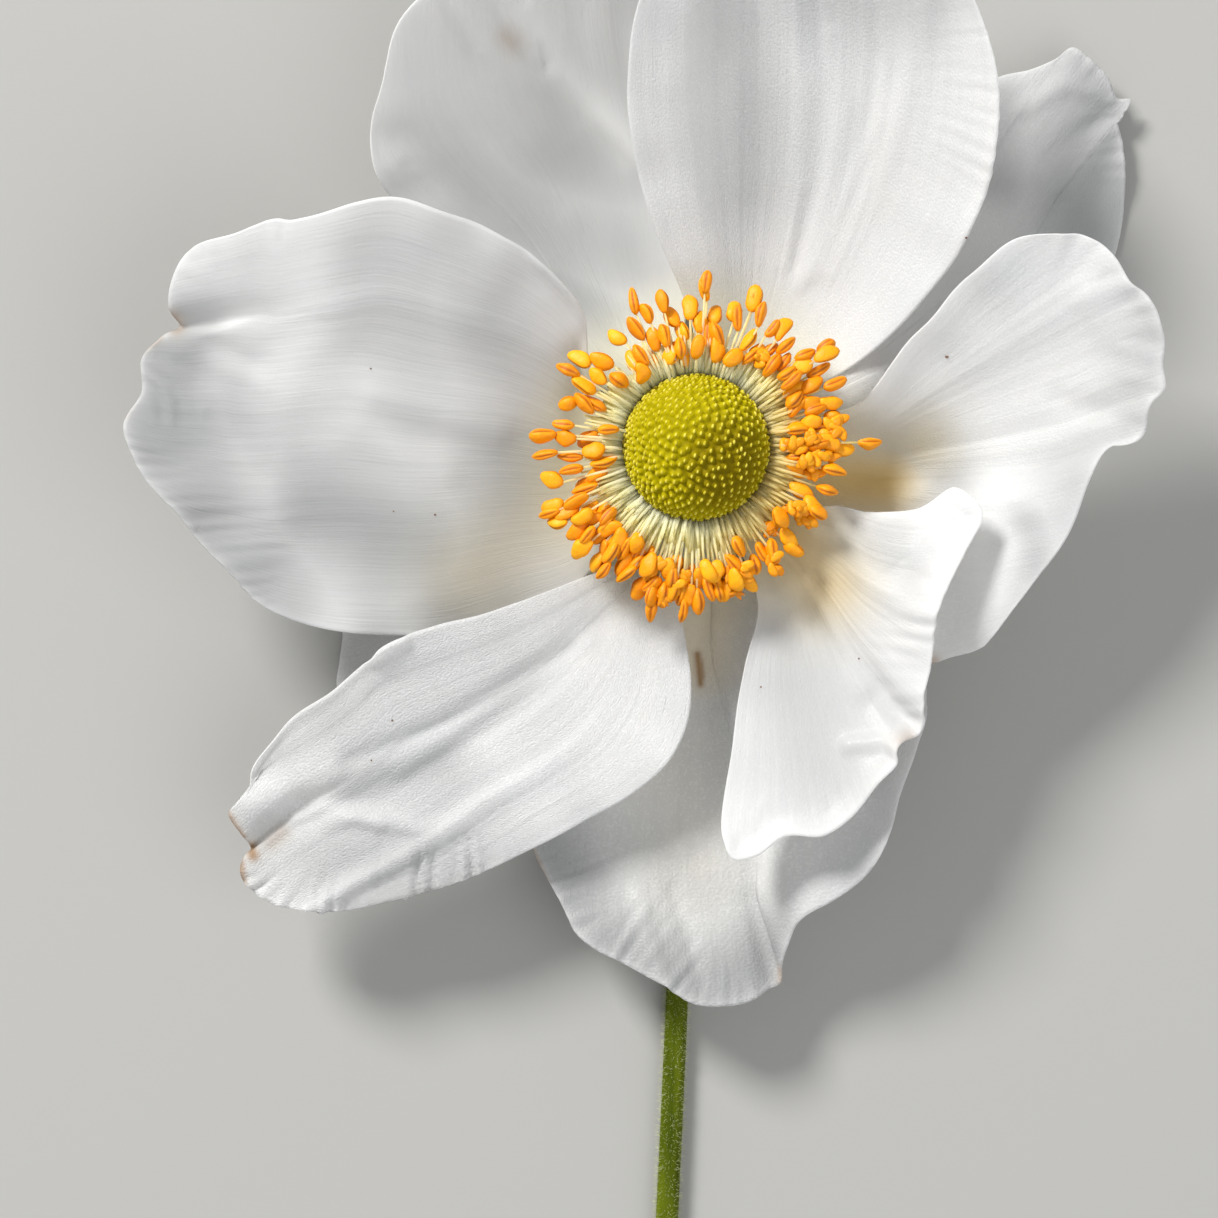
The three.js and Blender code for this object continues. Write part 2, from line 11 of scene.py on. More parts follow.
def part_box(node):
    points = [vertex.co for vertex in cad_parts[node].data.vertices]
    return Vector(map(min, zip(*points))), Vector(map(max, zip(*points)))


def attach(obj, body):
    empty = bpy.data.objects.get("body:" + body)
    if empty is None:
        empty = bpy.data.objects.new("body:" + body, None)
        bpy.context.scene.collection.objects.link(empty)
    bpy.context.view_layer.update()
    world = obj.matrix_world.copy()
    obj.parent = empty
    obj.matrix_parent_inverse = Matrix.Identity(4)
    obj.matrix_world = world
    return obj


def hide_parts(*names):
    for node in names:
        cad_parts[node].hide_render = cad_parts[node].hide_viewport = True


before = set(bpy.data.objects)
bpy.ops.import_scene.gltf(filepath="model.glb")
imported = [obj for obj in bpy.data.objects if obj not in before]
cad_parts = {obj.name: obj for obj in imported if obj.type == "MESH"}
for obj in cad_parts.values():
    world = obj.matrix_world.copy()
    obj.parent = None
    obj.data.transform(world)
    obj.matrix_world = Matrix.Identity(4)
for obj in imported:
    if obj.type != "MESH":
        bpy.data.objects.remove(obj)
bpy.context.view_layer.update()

MM = 0.001

# No vector is divided by less than this, so one without length stays without direction.
SHORTEST = 1e-9

# The receptacle's round rim is the stem's furthest reach to +Y and to both sides.
RECEPTACLE_RADIUS = 3.7
stem_low, stem_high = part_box("stem")
AXIS_X = (stem_low.x + stem_high.x) / 2
AXIS_Y = stem_high.y - RECEPTACLE_RADIUS * MM

# The first seed of the tepals, and the seeds of the other pieces.
TEPAL_SEED = 100
STAMEN_SEED = 5
MASS_SEED = 6
CARPEL_SEED = 21
STIGMA_SEED = 22
STEM_SEED = 31
HAIR_SEED = 32

# Tepals
CLAW_RADIUS = 4.1
CLAW_HALF_ANGLE = 19
LOWEST_MIDDLE = 0.3
LOWEST_FACE = 0.01
COLUMN_STEP = 0.22
ROWS = 125
EDGE_STEP = 0.06
MARGIN_SMOOTHING = 4.0
MARGIN_DETAIL_STARTS = 0.7
THICKNESS = 0.3
THICKNESS_AT_MARGIN = 0.09
THICKNESS_AT_CLAW = 0.5
CLAW_SHARE = 0.2
THIN_MARGIN = 0.8

# Furrows: where on the way from the claw they come up, how much of them goes near the edge and how far
# that reaches in, and how much they drift. Waves along the edge: where on the way they come up, how far
# the ripple reaches in, over how long a run crinkles and curls fade out, and how slowly crinkles change.
FURROWS_RISE = (0.1, 0.5)
FURROW_LOSS = 0.8
FURROW_CLEARANCE = 3
FURROW_DRIFT = 1.2
WAVES_RISE = (0.2, 0.6)
RIPPLE_REACH = 2.2
CRINKLE_FADE = 1.5
CRINKLE_CHANGE = 9
CURL_FADE = 1.2
NORMAL_PASSES = 3

# Soft irregular waves are sums of some plain ones, whose paces lie in this range.
WAVE_TERMS = 7
WAVE_PACES = (0.5, 1.3)

# Where the nearest place on the edge moves by more than this between two neighbouring points, the
# waves along the edge would break, so they are faded out there, this steeply and in so many passes.
LARGEST_EDGE_MOVE = 0.7
BREAK_STEEPNESS = 3
BREAK_PASSES = 8

# The flush of the claw: where along a tepal it begins to fade and where it ends. Then how far in the
# painted light along the margin reaches.
CLAW_FLUSH = (1, 9)
MARGIN_LIGHT_REACH = 0.3
MARGIN_LIGHT_RISE = (0.3, 0.6)

# The grain on a tepal lies in a plane of its own: how wide the tepal counts there, and how far apart
# the planes of two tepals are.
GRAIN_WIDTH = 30.0
GRAIN_SHIFT = 7.3

SPECK_SIDES = 8
SPECK_HALF_HEIGHT = 0.03
SPECK_TAPER = 0.9

# Carpel head. Its neck narrows and its carpels end between two angles down from the top.
HEAD_RADIUS = 4.45
HEAD_HALF_HEIGHT = 4.05
HEAD_BASE = 7.0
HEAD_CENTRE = 9.6
NECK_NARROWING = 0.42
NECK_ANGLES = (1.6, 2.1)
CARPELS_END = (1.9, 2.2)
CARPELS = 1250
CARPEL_JITTER = 0.014
CARPEL_RELIEF = 0.12
CARPEL_OVERLAP = 1.15
HEAD_FINENESS = 7

# The riper side of the head, where the carpels have grown wider. It is also the side away from the key
# lamp, where the head's colour is darkened as painted shade.
RIPE_AND_SHADED_SIDE = np.array([0.5, -0.32, 0.8])
RIPE_SPREAD = 0.22
HEAD_SHADE_EDGE = (0.5, 0.97)

# A stigma: radius and height of each ring, and how wide it is from side to side and from back to front.
STIGMA_PROFILE = ((0.125, -0.08), (0.12, 0.0), (0.08, 0.045), (0.0, 0.06))
STIGMA_WIDTHS = (0.7, 1.25)
STIGMA_SIDES = 6
LOWEST_STIGMA = -0.35
STIGMA_LEAN = np.array([0, 0, 0.25])
STIGMA_SCATTER = 0.12
STIGMA_SIZES = (0.75, 1.15)

# The sides of a stigma, a filament and a hair are worked out from directions that hardly any of them
# points along.
STIGMA_ASIDE = (0.3, 0.9, 0.1)
FILAMENT_ASIDE = (0.03, 0.02, 1)
HAIR_ASIDE = (0.2, 0.1, 1)

# Stamens
COLLAR_INNER_RADIUS = 3.1
COLLAR_OUTER_RADIUS = 4.0
COLLAR_BASE = 7.0
COLLAR_TOP = 7.5
COLLAR_BEVEL = 0.15
COLLAR_SIDES = 64
FILAMENT_RADIUS = 0.095
FILAMENT_TAPER = ((0, 1.25), (0.8, 0.95), (1, 0.7))
FILAMENT_RINGS = 7
FILAMENT_SIDES = 5
ROOT_RADIUS = COLLAR_OUTER_RADIUS - 0.05
ROOT_HEIGHT = COLLAR_TOP - 0.2
BEND_RADII = (4.6, 4.9)
BARE_FILAMENTS = 340
BARE_RADII = (5.8, 7.4)

# The anthers' height at a radius, how much lower they are for each millimetre further out, and how far
# a filament with an anther and a bare one arch above it.
ANTHER_HEIGHT = 10.5
AT_RADIUS = 6
FALL = 0.12
ARCH = 0.1
BARE_ARCH = 1.3

# From one anther of a sector to the next, as a share of the sector's width, and how much that differs.
# From one bare filament to the next, as a share of a turn.
STEP_ACROSS = 0.618
STEP_DIFFERENCE = 0.25
STEP_ROUND = 0.618034

# The ribbed skirt of lower filaments: its ribs, their section, the skirt's depth, where it bends and
# where it ends.
MASS_RIBS = 150
MASS_RIB = (-1, 0.3, 1, 0.3)
MASS_DEPTH = 0.25
MASS_BEND = (4.55, 11.5)
MASS_ENDS = (5.9, 6.8)
MASS_END_HEIGHT = 9.6

# The side of the ring where the filaments get painted golden shade, under the head and away from the key
# lamp, and the cosines between which the gold fades in.
GOLD_SHADE_SIDE = math.radians(-15)
GOLD_SHADE_EDGE = (0.25, 0.98)

# One anther: its size, the points of its mesh, the width and depth of its slits and its seams, and the
# girths between which these come up.
ANTHER_LENGTH = 1.6
ANTHER_WIDTH = 1.12
ANTHER_DEPTH = 0.75
ANTHER_LEVELS = 9
ANTHER_SIDES = 18
ANTHER_END = 0.015
ANTHER_ROUNDING = 0.42
SLIT = (0.24, 0.3)
SEAM = (0.22, 0.16)
SLITS_RISE = (0.3, 0.9)

# How much the stamens differ: the turn of a root, the height of an anther, how much lower bare ones
# end, how far an anther leans, tilts and rolls off its filament's direction, its size, its bow and its
# swellings. All anthers nod, and sit a little down their filament. One that shows its slit is darker.
ROOT_TURN = 0.08
HEIGHT_DIFFERENCE = 0.5
BARE_DROPS = (0.1, 0.9)
LEAN = np.array([0.25, 0.25, 0.15])
TILT = 0.12
ROLL = 0.35
NOD = np.array([0, 0, 0.3])
ANTHER_SIZES = (0.82, 1.1)
BOW = 0.07
SWELLING = 0.08
SWELLING_PACES = (0.6, 1.6)
SLIT_TONE = 0.4
ANTHER_SEAT = 0.06

# Sectors of the ring of stamens: from and to in degrees from +X, how near and how far from the axis
# the anthers begin, how many there are, and the shares of them that are turned to show their slit and
# that have burst into a clump of pollen.
STAMEN_SECTORS = (
    (-12, 22, 5.4, 8.6, 21, 0.35, 0.3),
    (22, 60, 6.0, 9.4, 18, 0.6, 0.1),
    (60, 120, 5.0, 9.2, 27, 0.4, 0),
    (120, 165, 5.2, 8.6, 13, 0.35, 0),
    (165, 200, 4.9, 8.9, 13, 0.5, 0),
    (200, 240, 6.3, 9.6, 27, 0.45, 0),
    (240, 292, 6.6, 8.9, 34, 0.5, 0.12),
    (292, 348, 6.0, 8.4, 16, 0.35, 0.35),
)

# The lobes of a burst and of a shrivelled anther: how many, their width, depth and length, how far
# they scatter and how dark they are.
LOBES = {
    "clump": (7, (0.62, 0.46, 0.95), 1.1, 0.15),
    "star": (4, (0.34, 0.3, 1.15), 0, 0.7),
}

# Lobes point a little more ahead than back, and less up and down than to the sides. Of their scatter,
# a share is ahead and the rest goes any way. Their tones, and how much of the slit's colour they show.
LOBE_AHEAD = 0.3
LOBE_WAYS = np.array([1, 1, 0.35])
LOBE_PLACES = (0.1, 1)
LOBE_OFFSETS = (-0.25, 0.25)
LOBE_TONES = (0, 0.9)
LOBE_SLIT = 0.7
LOBE_SHADE = 0.3

# Stamens that stand out of the ring: degrees from +X, how far out the anther begins, and its kind.
LONE_STAMENS = (
    (1.7, 10.1, "slit"), (-75, 9.4, "star"), (-76, 8.2, "star"), (-102.4, 9.7, "star"),
    (-106, 9.8, "slit"), (-94.5, 9.5, "slit"), (-92, 8.6, "plump"), (38, 9.6, "slit"),
    (68, 9.4, "slit"), (87, 9.6, "slit"),
)

# Stem
STEM_RADIUS = 0.7
STEM_HEIGHT = 0.75
STEM_BEND_RADIUS = 3
STEM_BEND_STEPS = 12
STEM_STEP = 0.8
STEM_END = (-2.4, -62, 0.75)
STEM_MIDDLE = (-1.1, -34, 0.75)
STEM_SIDES = 28
STEM_RIBS = 7
STEM_RIB_DEPTH = 0.035
STEM_ROUGHNESS = 0.006

# Gives the stem a side also where it points straight up.
STEM_ASIDE = np.array([0.001, 0, 0])

# The receptacle's outline: radius and height.
RECEPTACLE_SIDES = 72
RECEPTACLE_PROFILE = (
    (0.02, 3.15), (0.78, 3.15), (1.2, 3.4), (1.9, 3.75), (3.0, 4.1), (3.55, 4.45), (3.68, 4.85),
    (3.68, 6.6), (3.6, 6.68), (0.02, 6.68),
)

STEM_HAIRS = 9500
HAIR_RADIUS = 0.011
HAIR_TAPER = 0.7
HAIR_LENGTHS = (0.18, 0.48)
HAIR_LEAN = 0.5
HAIR_SCATTER = 0.2
HAIR_BEND = (0.55, 0.2)
HAIR_DROOP = np.array([0, 0, -0.03])
HAIR_SINK = 0.02
LOWEST_HAIR_TIP = 0.03

# Hairs stand all along the stem's points, up to just before the last one.
HAIRLESS_POINTS = 1.001

# Materials whose colour wanders between a dark and a light one: roughness, specular level, subsurface
# weight and radius, the scale of the patches, and the two colours.
MOTTLED = {
    "speck_brown": (0.6, 0.4, 0, 0, 4000, (0.10, 0.05, 0.03), (0.22, 0.12, 0.07)),
    "stigma_pale": (0.7, 0.05, 0.2, 0.2, 1500, (0.46, 0.38, 0.01), (0.66, 0.57, 0.08)),
    "hair_pale": (0.5, 0.4, 0.3, 0.2, 700, (0.46, 0.52, 0.16), (0.70, 0.72, 0.36)),
}

# Colours. The tepals' veins and patches are dark and light, and the rest lies over them.
VEIN_COLOURS = ((0.845, 0.85, 0.855), (0.90, 0.895, 0.89))
PATCH_COLOURS = ((0.84, 0.85, 0.855), (0.90, 0.895, 0.885))
GLINT_WHITE = (0.99, 0.99, 0.99)
# Grey of the painted shade on the tepals.
PAINTED_SHADE_GREY = (0.45, 0.46, 0.46)
CLAW_CREAM = (0.95, 0.92, 0.66)
# Gold of the painted warm shade near the stamens.
PAINTED_SHADE_GOLD = (0.90, 0.70, 0.30)
# White of the painted light along the margins and at the pale places.
PAINTED_LIGHT_WHITE = (0.97, 0.97, 0.965)
STAIN_BROWN = (0.42, 0.22, 0.06)
# Carpels: darker in the gaps between them as painted shade, lighter on their tops.
CARPEL_GAP = (0.25, 0.21, 0.0)
CARPEL_SIDE = (0.34, 0.28, 0.0)
CARPEL_TOP = (0.48, 0.41, 0.003)
CARPEL_PATCH = (0.46, 0.39, 0.0)
# Painted shade on the side of the head away from the key lamp.
CARPEL_SHADE = (0.145, 0.098, 0.0)
ANTHER_RUST = (0.76, 0.23, 0.0)
ANTHER_ORANGE = (0.90, 0.36, 0.001)
ANTHER_YELLOW = (0.96, 0.47, 0.006)
POWDER_YELLOW = (0.97, 0.46, 0.006)
PATCH_RUST = (0.80, 0.25, 0.0)
SLIT_BROWN = (0.42, 0.085, 0.0)
FILAMENT_ROOT = (0.98, 0.965, 0.78)
FILAMENT_MIDDLE = (0.99, 0.985, 0.86)
FILAMENT_END = (0.985, 0.93, 0.55)
# Painted golden shade on the filaments.
FILAMENT_SHADE_GOLD = (0.95, 0.82, 0.34)
STEM_COLOURS = ((0.045, 0.066, 0.0), (0.12, 0.15, 0.004))

# How much red, green and blue light spread under a skin, and the light that a tepal and a filament let
# through, as a share.
SPREAD_OF_LIGHT = (1, 0.8, 0.5)
THROUGH_TEPAL = 0.52
THROUGH_FILAMENT = 0.68

# The scale of the skin's noise that gives its painted glints, and the values between which it begins to
# shine.
GLINT_SCALE = 7.0
GLINT_FROM = 0.58
GLINT_FULL = 0.7

# Where the dark and the light colour of a noise are reached.
NOISE_LOW = 0.3
NOISE_HIGH = 0.7

# Room. The camera looks straight down on a square of the picture's width at the head's level.
VIEW_WIDTH = 76.125
VIEW_DISTANCE = 400
VIEW_LEVEL = 8
VIEW_CENTRE = (-5.4375, -10.0625)
SENSOR_WIDTH = 36
SEEN_FROM = 0.01
SEEN_TO = 10
FLOOR_HALF_WIDTH = 0.6
FLOOR_COLOUR = (0.37, 0.366, 0.353, 1)
LAMP_DISTANCE = 0.9
ROOM_LIGHT = (0.98, 0.99, 1.0, 1)
ROOM_STRENGTH = 0.49

# Lamps: direction from the flower, size, power and colour.
LAMPS = {
    "key": ((-0.5, 0.6, 0.62), 0.26, 11.0, (1.0, 0.99, 0.97)),
    "fill": ((0.5, -0.4, 0.9), 0.9, 3.0, (0.98, 0.99, 1.0)),
}

# Each tepal's claw has a direction in degrees from +X and a height. Its outline runs clockwise, seen
# from above, from one side of the claw round the tip to the other side. tip gives the numbers of the
# outline points where the two sides end and the outer margin begins. sag is how far the middle of the
# tepal hangs below what its edges alone would give. A fold is a ridge, or a furrow where its height is
# below 0, along a vein: the number of the outline point where the vein ends, the fold's height, its
# width as a share of the margin, and the shares of the vein where it begins and where it is full.
TEPALS = {
    "left": {
        "claw": 183, "layer": 5.3, "sag": 2.4, "tip": (6, 16),
        "outline": [
            [-6.9, -8.0, 5.4], [-10.8, -9.8, 5.2], [-15.4, -11.5, 6.2], [-19.6, -11.7, 7.3],
            [-23.7, -11.2, 8.4], [-27.0, -9.9, 9.4], [-28.9, -8.0, 10.2], [-31.8, -4.7, 11.2],
            [-34.1, -2.0, 11.8], [-35.5, 1.2, 12.3], [-34.3, 3.3, 12.5], [-34.3, 5.4, 12.7],
            [-33.1, 6.7, 12.8], [-32.0, 7.4, 12.3], [-32.6, 8.5, 13.0], [-32.4, 10.2, 13.4],
            [-31.3, 12.1, 13.9], [-28.7, 13.0, 14.4], [-25.9, 13.9, 14.8], [-25.1, 13.8, 14.8],
            [-21.1, 14.9, 15.2], [-18.3, 15.2, 15.0], [-14.3, 13.9, 13.8], [-10.2, 12.0, 11.8],
            [-7.5, 9.4, 9.6], [-6.9, 7.4, 7.9], [-6.5, 4.8, 6.6], [-5.8, 3.3, 6.1],
        ],
        "folds": [
            (13, -0.4, 0.04, 0.8, 1),
            (8, 0.3, 0.06, 0.3, 0.9),
            (15, 0.2, 0.08, 0.4, 0.9),
        ],
    },
    "upper_left": {
        "claw": 117, "layer": 4.3, "sag": 4.6, "tip": (6, 13),
        "outline": [
            [-5.9, 4.0, 4.2], [-9.2, 7.2, 3.4], [-13.6, 11.9, 2.8], [-18.0, 14.8, 3.6],
            [-20.2, 17.4, 5.2], [-20.2, 20.3, 6.6], [-19.5, 23.8, 8.2], [-18.1, 26.9, 9.6],
            [-16.2, 29.1, 10.6], [-13.4, 30.9, 11.6], [-10.0, 31.9, 12.4], [-6.6, 32.0, 12.8],
            [-3.5, 31.0, 12.4], [-1.2, 28.6, 11.2], [0.0, 24.8, 8.8], [0.4, 20.0, 6.4],
            [0.2, 15.1, 5.0], [-0.3, 10.7, 4.5], [-0.7, 7.5, 4.4],
        ],
        "folds": [
            (9, 0.3, 0.045, 0.45, 0.9),
            (11, 0.35, 0.045, 0.4, 0.9),
        ],
    },
    "top": {
        "claw": 66, "layer": 5.3, "sag": 3.0, "tip": (8, 14),
        "outline": [
            [-0.3, 8.0, 5.9], [-1.0, 10.0, 6.4], [-1.8, 11.8, 7.2], [-2.8, 14.2, 8.4],
            [-3.6, 17.0, 9.8], [-4.2, 20.2, 11.6], [-4.3, 22.6, 12.8], [-4.0, 25.5, 14.4],
            [-3.2, 28.2, 15.6], [-1.1, 30.8, 16.2], [2.3, 32.4, 16.0], [6.3, 33.1, 15.6],
            [10.3, 32.8, 15.4], [14.0, 31.3, 15.2], [16.2, 28.8, 15.2], [17.3, 26.4, 15.0],
            [18.3, 23.4, 14.6], [18.6, 20.7, 13.8], [18.4, 18.0, 12.8], [17.8, 15.6, 11.6],
            [16.8, 12.9, 10.0], [15.2, 10.5, 8.4], [12.8, 7.7, 7.0], [9.7, 5.1, 6.0],
            [6.6, 3.7, 5.7],
        ],
        "folds": [
            (10, 0.3, 0.04, 0.2, 0.7),
            (12, -0.22, 0.045, 0.2, 0.7),
            (14, 0.3, 0.04, 0.2, 0.7),
        ],
    },
    "upper_right": {
        "claw": 30, "layer": 4.3, "sag": 0.6, "tip": (4, 18),
        "outline": [
            [6.6, 4.5, 4.2], [9.8, 9.5, 3.6], [13.0, 15.2, 3.2], [15.5, 20.2, 3.0],
            [17.7, 22.9, 3.0], [19.5, 23.7, 3.0], [21.3, 24.1, 2.9], [22.9, 24.8, 2.8],
            [23.9, 25.5, 2.8], [25.2, 24.7, 2.4], [26.2, 23.7, 2.0], [26.8, 22.4, 1.8],
            [27.7, 22.3, 1.9], [27.4, 21.6, 1.8], [26.9, 20.9, 1.6], [27.2, 19.6, 1.4],
            [27.4, 17.0, 0.9], [27.2, 14.4, 0.3], [26.5, 11.7, 0.3], [23.9, 8.3, 0.6],
            [19.4, 5.1, 1.4], [14.3, 2.5, 2.8], [8.5, 1.4, 4.2],
        ],
        "folds": [
            (12, -0.3, 0.06, 0.4, 1),
        ],
    },
    "right": {
        "claw": -3, "layer": 5.3, "sag": 3, "tip": (6, 21),
        "outline": [
            [6.6, 2.1, 6.0], [10.1, 2.7, 6.8], [12.2, 5.3, 8.4], [14.3, 7.7, 9.8],
            [16.9, 10.6, 11.4], [19.3, 12.6, 12.4], [21.2, 13.1, 12.8], [24.0, 12.9, 13.0],
            [25.7, 11.8, 13.0], [26.7, 10.2, 13.0], [28.1, 8.9, 13.0], [28.8, 6.9, 12.8],
            [28.7, 4.9, 12.6], [29.0, 3.6, 12.4], [28.0, 2.3, 12.2], [27.4, 0.6, 11.9],
            [25.6, -0.1, 11.6], [24.4, -2.1, 11.2], [23.5, -4.7, 10.4], [22.2, -7.1, 9.4],
            [20.1, -10.0, 8.4], [18.1, -12.4, 7.8], [16.2, -13.1, 7.4], [14.4, -13.4, 7.0],
            [11.6, -11.4, 6.8], [8.4, -7.6, 6.2], [5.9, -4.5, 5.8],
        ],
        "folds": [
            (16, -0.5, 0.03, 0.5, 1),
        ],
    },
    "lower_right": {
        "claw": -47, "layer": 6.3, "sag": 0.7, "tip": (4, 20),
        "outline": [
            [6.4, -3.7, 7.2], [9.0, -3.6, 7.9], [11.2, -4.1, 8.3], [13.8, -3.8, 8.9],
            [16.2, -2.5, 9.8], [17.8, -4.0, 10.6], [16.8, -6.3, 11.0], [15.8, -8.4, 11.2],
            [15.1, -10.1, 11.2], [14.7, -12.6, 10.9], [14.2, -15.4, 10.4], [14.0, -17.8, 10.0],
            [12.8, -18.6, 9.8], [12.7, -19.7, 9.7], [11.4, -21.1, 9.6], [9.6, -23.2, 9.4],
            [7.9, -24.3, 9.2], [5.6, -24.3, 9.0], [3.8, -25.5, 8.9], [2.3, -25.7, 8.8],
            [1.6, -24.3, 8.7], [2.2, -19.0, 8.2], [3.0, -13.8, 7.6], [3.9, -9.6, 7.0],
        ],
        "folds": [
            (11, -0.9, 0.03, 0.6, 0.9),
            (8, 0.6, 0.04, 0.4, 0.9),
        ],
    },
    "bottom": {
        "claw": -86, "layer": 4.3, "sag": 1.5, "tip": (5, 25),
        "outline": [
            [3.6, -8.6, 4.7], [6.6, -9.4, 4.8], [10.4, -10.6, 5.0], [13.2, -12.1, 5.2],
            [14.5, -14.0, 5.8], [14.9, -16.4, 6.6], [14.5, -18.9, 7.0], [13.5, -21.7, 7.0],
            [12.5, -25.0, 6.8], [11.4, -26.6, 6.6], [9.1, -28.5, 6.1], [6.8, -29.9, 5.6],
            [6.0, -31.4, 5.1], [5.4, -32.8, 4.7], [5.3, -33.7, 4.8], [4.7, -34.0, 4.8],
            [3.6, -34.7, 5.2], [2.1, -35.0, 5.6], [-0.1, -34.9, 5.8], [-2.0, -33.8, 5.8],
            [-4.4, -32.4, 5.6], [-6.3, -31.5, 5.4], [-7.5, -30.5, 5.2], [-8.3, -28.9, 5.0],
            [-9.2, -27.3, 4.8], [-10.2, -25.2, 4.5], [-10.4, -22.1, 4.2], [-9.0, -17.7, 4.0],
            [-6.3, -13.6, 4.0], [-3.5, -9.5, 4.2], [-1.5, -7.3, 4.4],
        ],
        "folds": [
            (14, -0.6, 0.035, 0.35, 0.9),
        ],
    },
    "lower_left": {
        "claw": -118, "layer": 6.3, "sag": 0.3, "tip": (9, 19),
        "outline": [
            [-1.2, -8.9, 6.6], [-0.7, -11.7, 7.0], [-0.3, -14.5, 7.3], [-0.5, -17.1, 7.5],
            [-1.7, -19.6, 7.6], [-4.1, -21.7, 7.6], [-7.3, -23.5, 7.5], [-10.7, -25.3, 7.3],
            [-14.1, -26.9, 7.1], [-18.2, -28.1, 7.0], [-21.4, -28.9, 7.0], [-24.3, -29.0, 7.0],
            [-26.8, -28.4, 7.1], [-28.4, -27.0, 7.3], [-28.5, -25.9, 7.4], [-27.9, -25.1, 7.0],
            [-28.5, -24.1, 7.6], [-29.2, -22.8, 7.8], [-28.2, -21.7, 8.0], [-27.5, -20.0, 8.3],
            [-25.6, -17.2, 8.8], [-22.4, -15.0, 9.4], [-20.6, -13.4, 9.8], [-19.8, -12.4, 9.9],
            [-16.5, -11.2, 9.2], [-13.4, -10.4, 8.6], [-10.2, -9.3, 8.0], [-7.1, -8.1, 7.4],
            [-4.7, -7.0, 7.0],
        ],
        "folds": [
            (15, -0.5, 0.05, 0.75, 1),
            (19, 0.3, 0.03, 0.3, 0.8),
            (11, 0.4, 0.04, 0.3, 0.8),
        ],
    },
    "back_left": {
        "claw": -150, "layer": 4.3, "sag": 1.5, "tip": (4, 9),
        "outline": [
            [-4.6, -6.6, 3.8], [-7.6, -10.4, 3.0], [-13.0, -13.6, 2.2], [-17.4, -16.4, 1.4],
            [-21.0, -16.6, 0.8], [-22.7, -15.2, 0.4], [-22.6, -13.3, 0.3], [-22.4, -11.5, 0.3],
            [-22.7, -9.2, 0.4], [-22.2, -6.6, 0.8], [-19.3, -4.4, 1.6], [-14.9, -3.2, 2.6],
            [-9.8, -2.2, 3.3], [-6.0, -1.9, 3.9],
        ],
        "folds": [],
    },
}
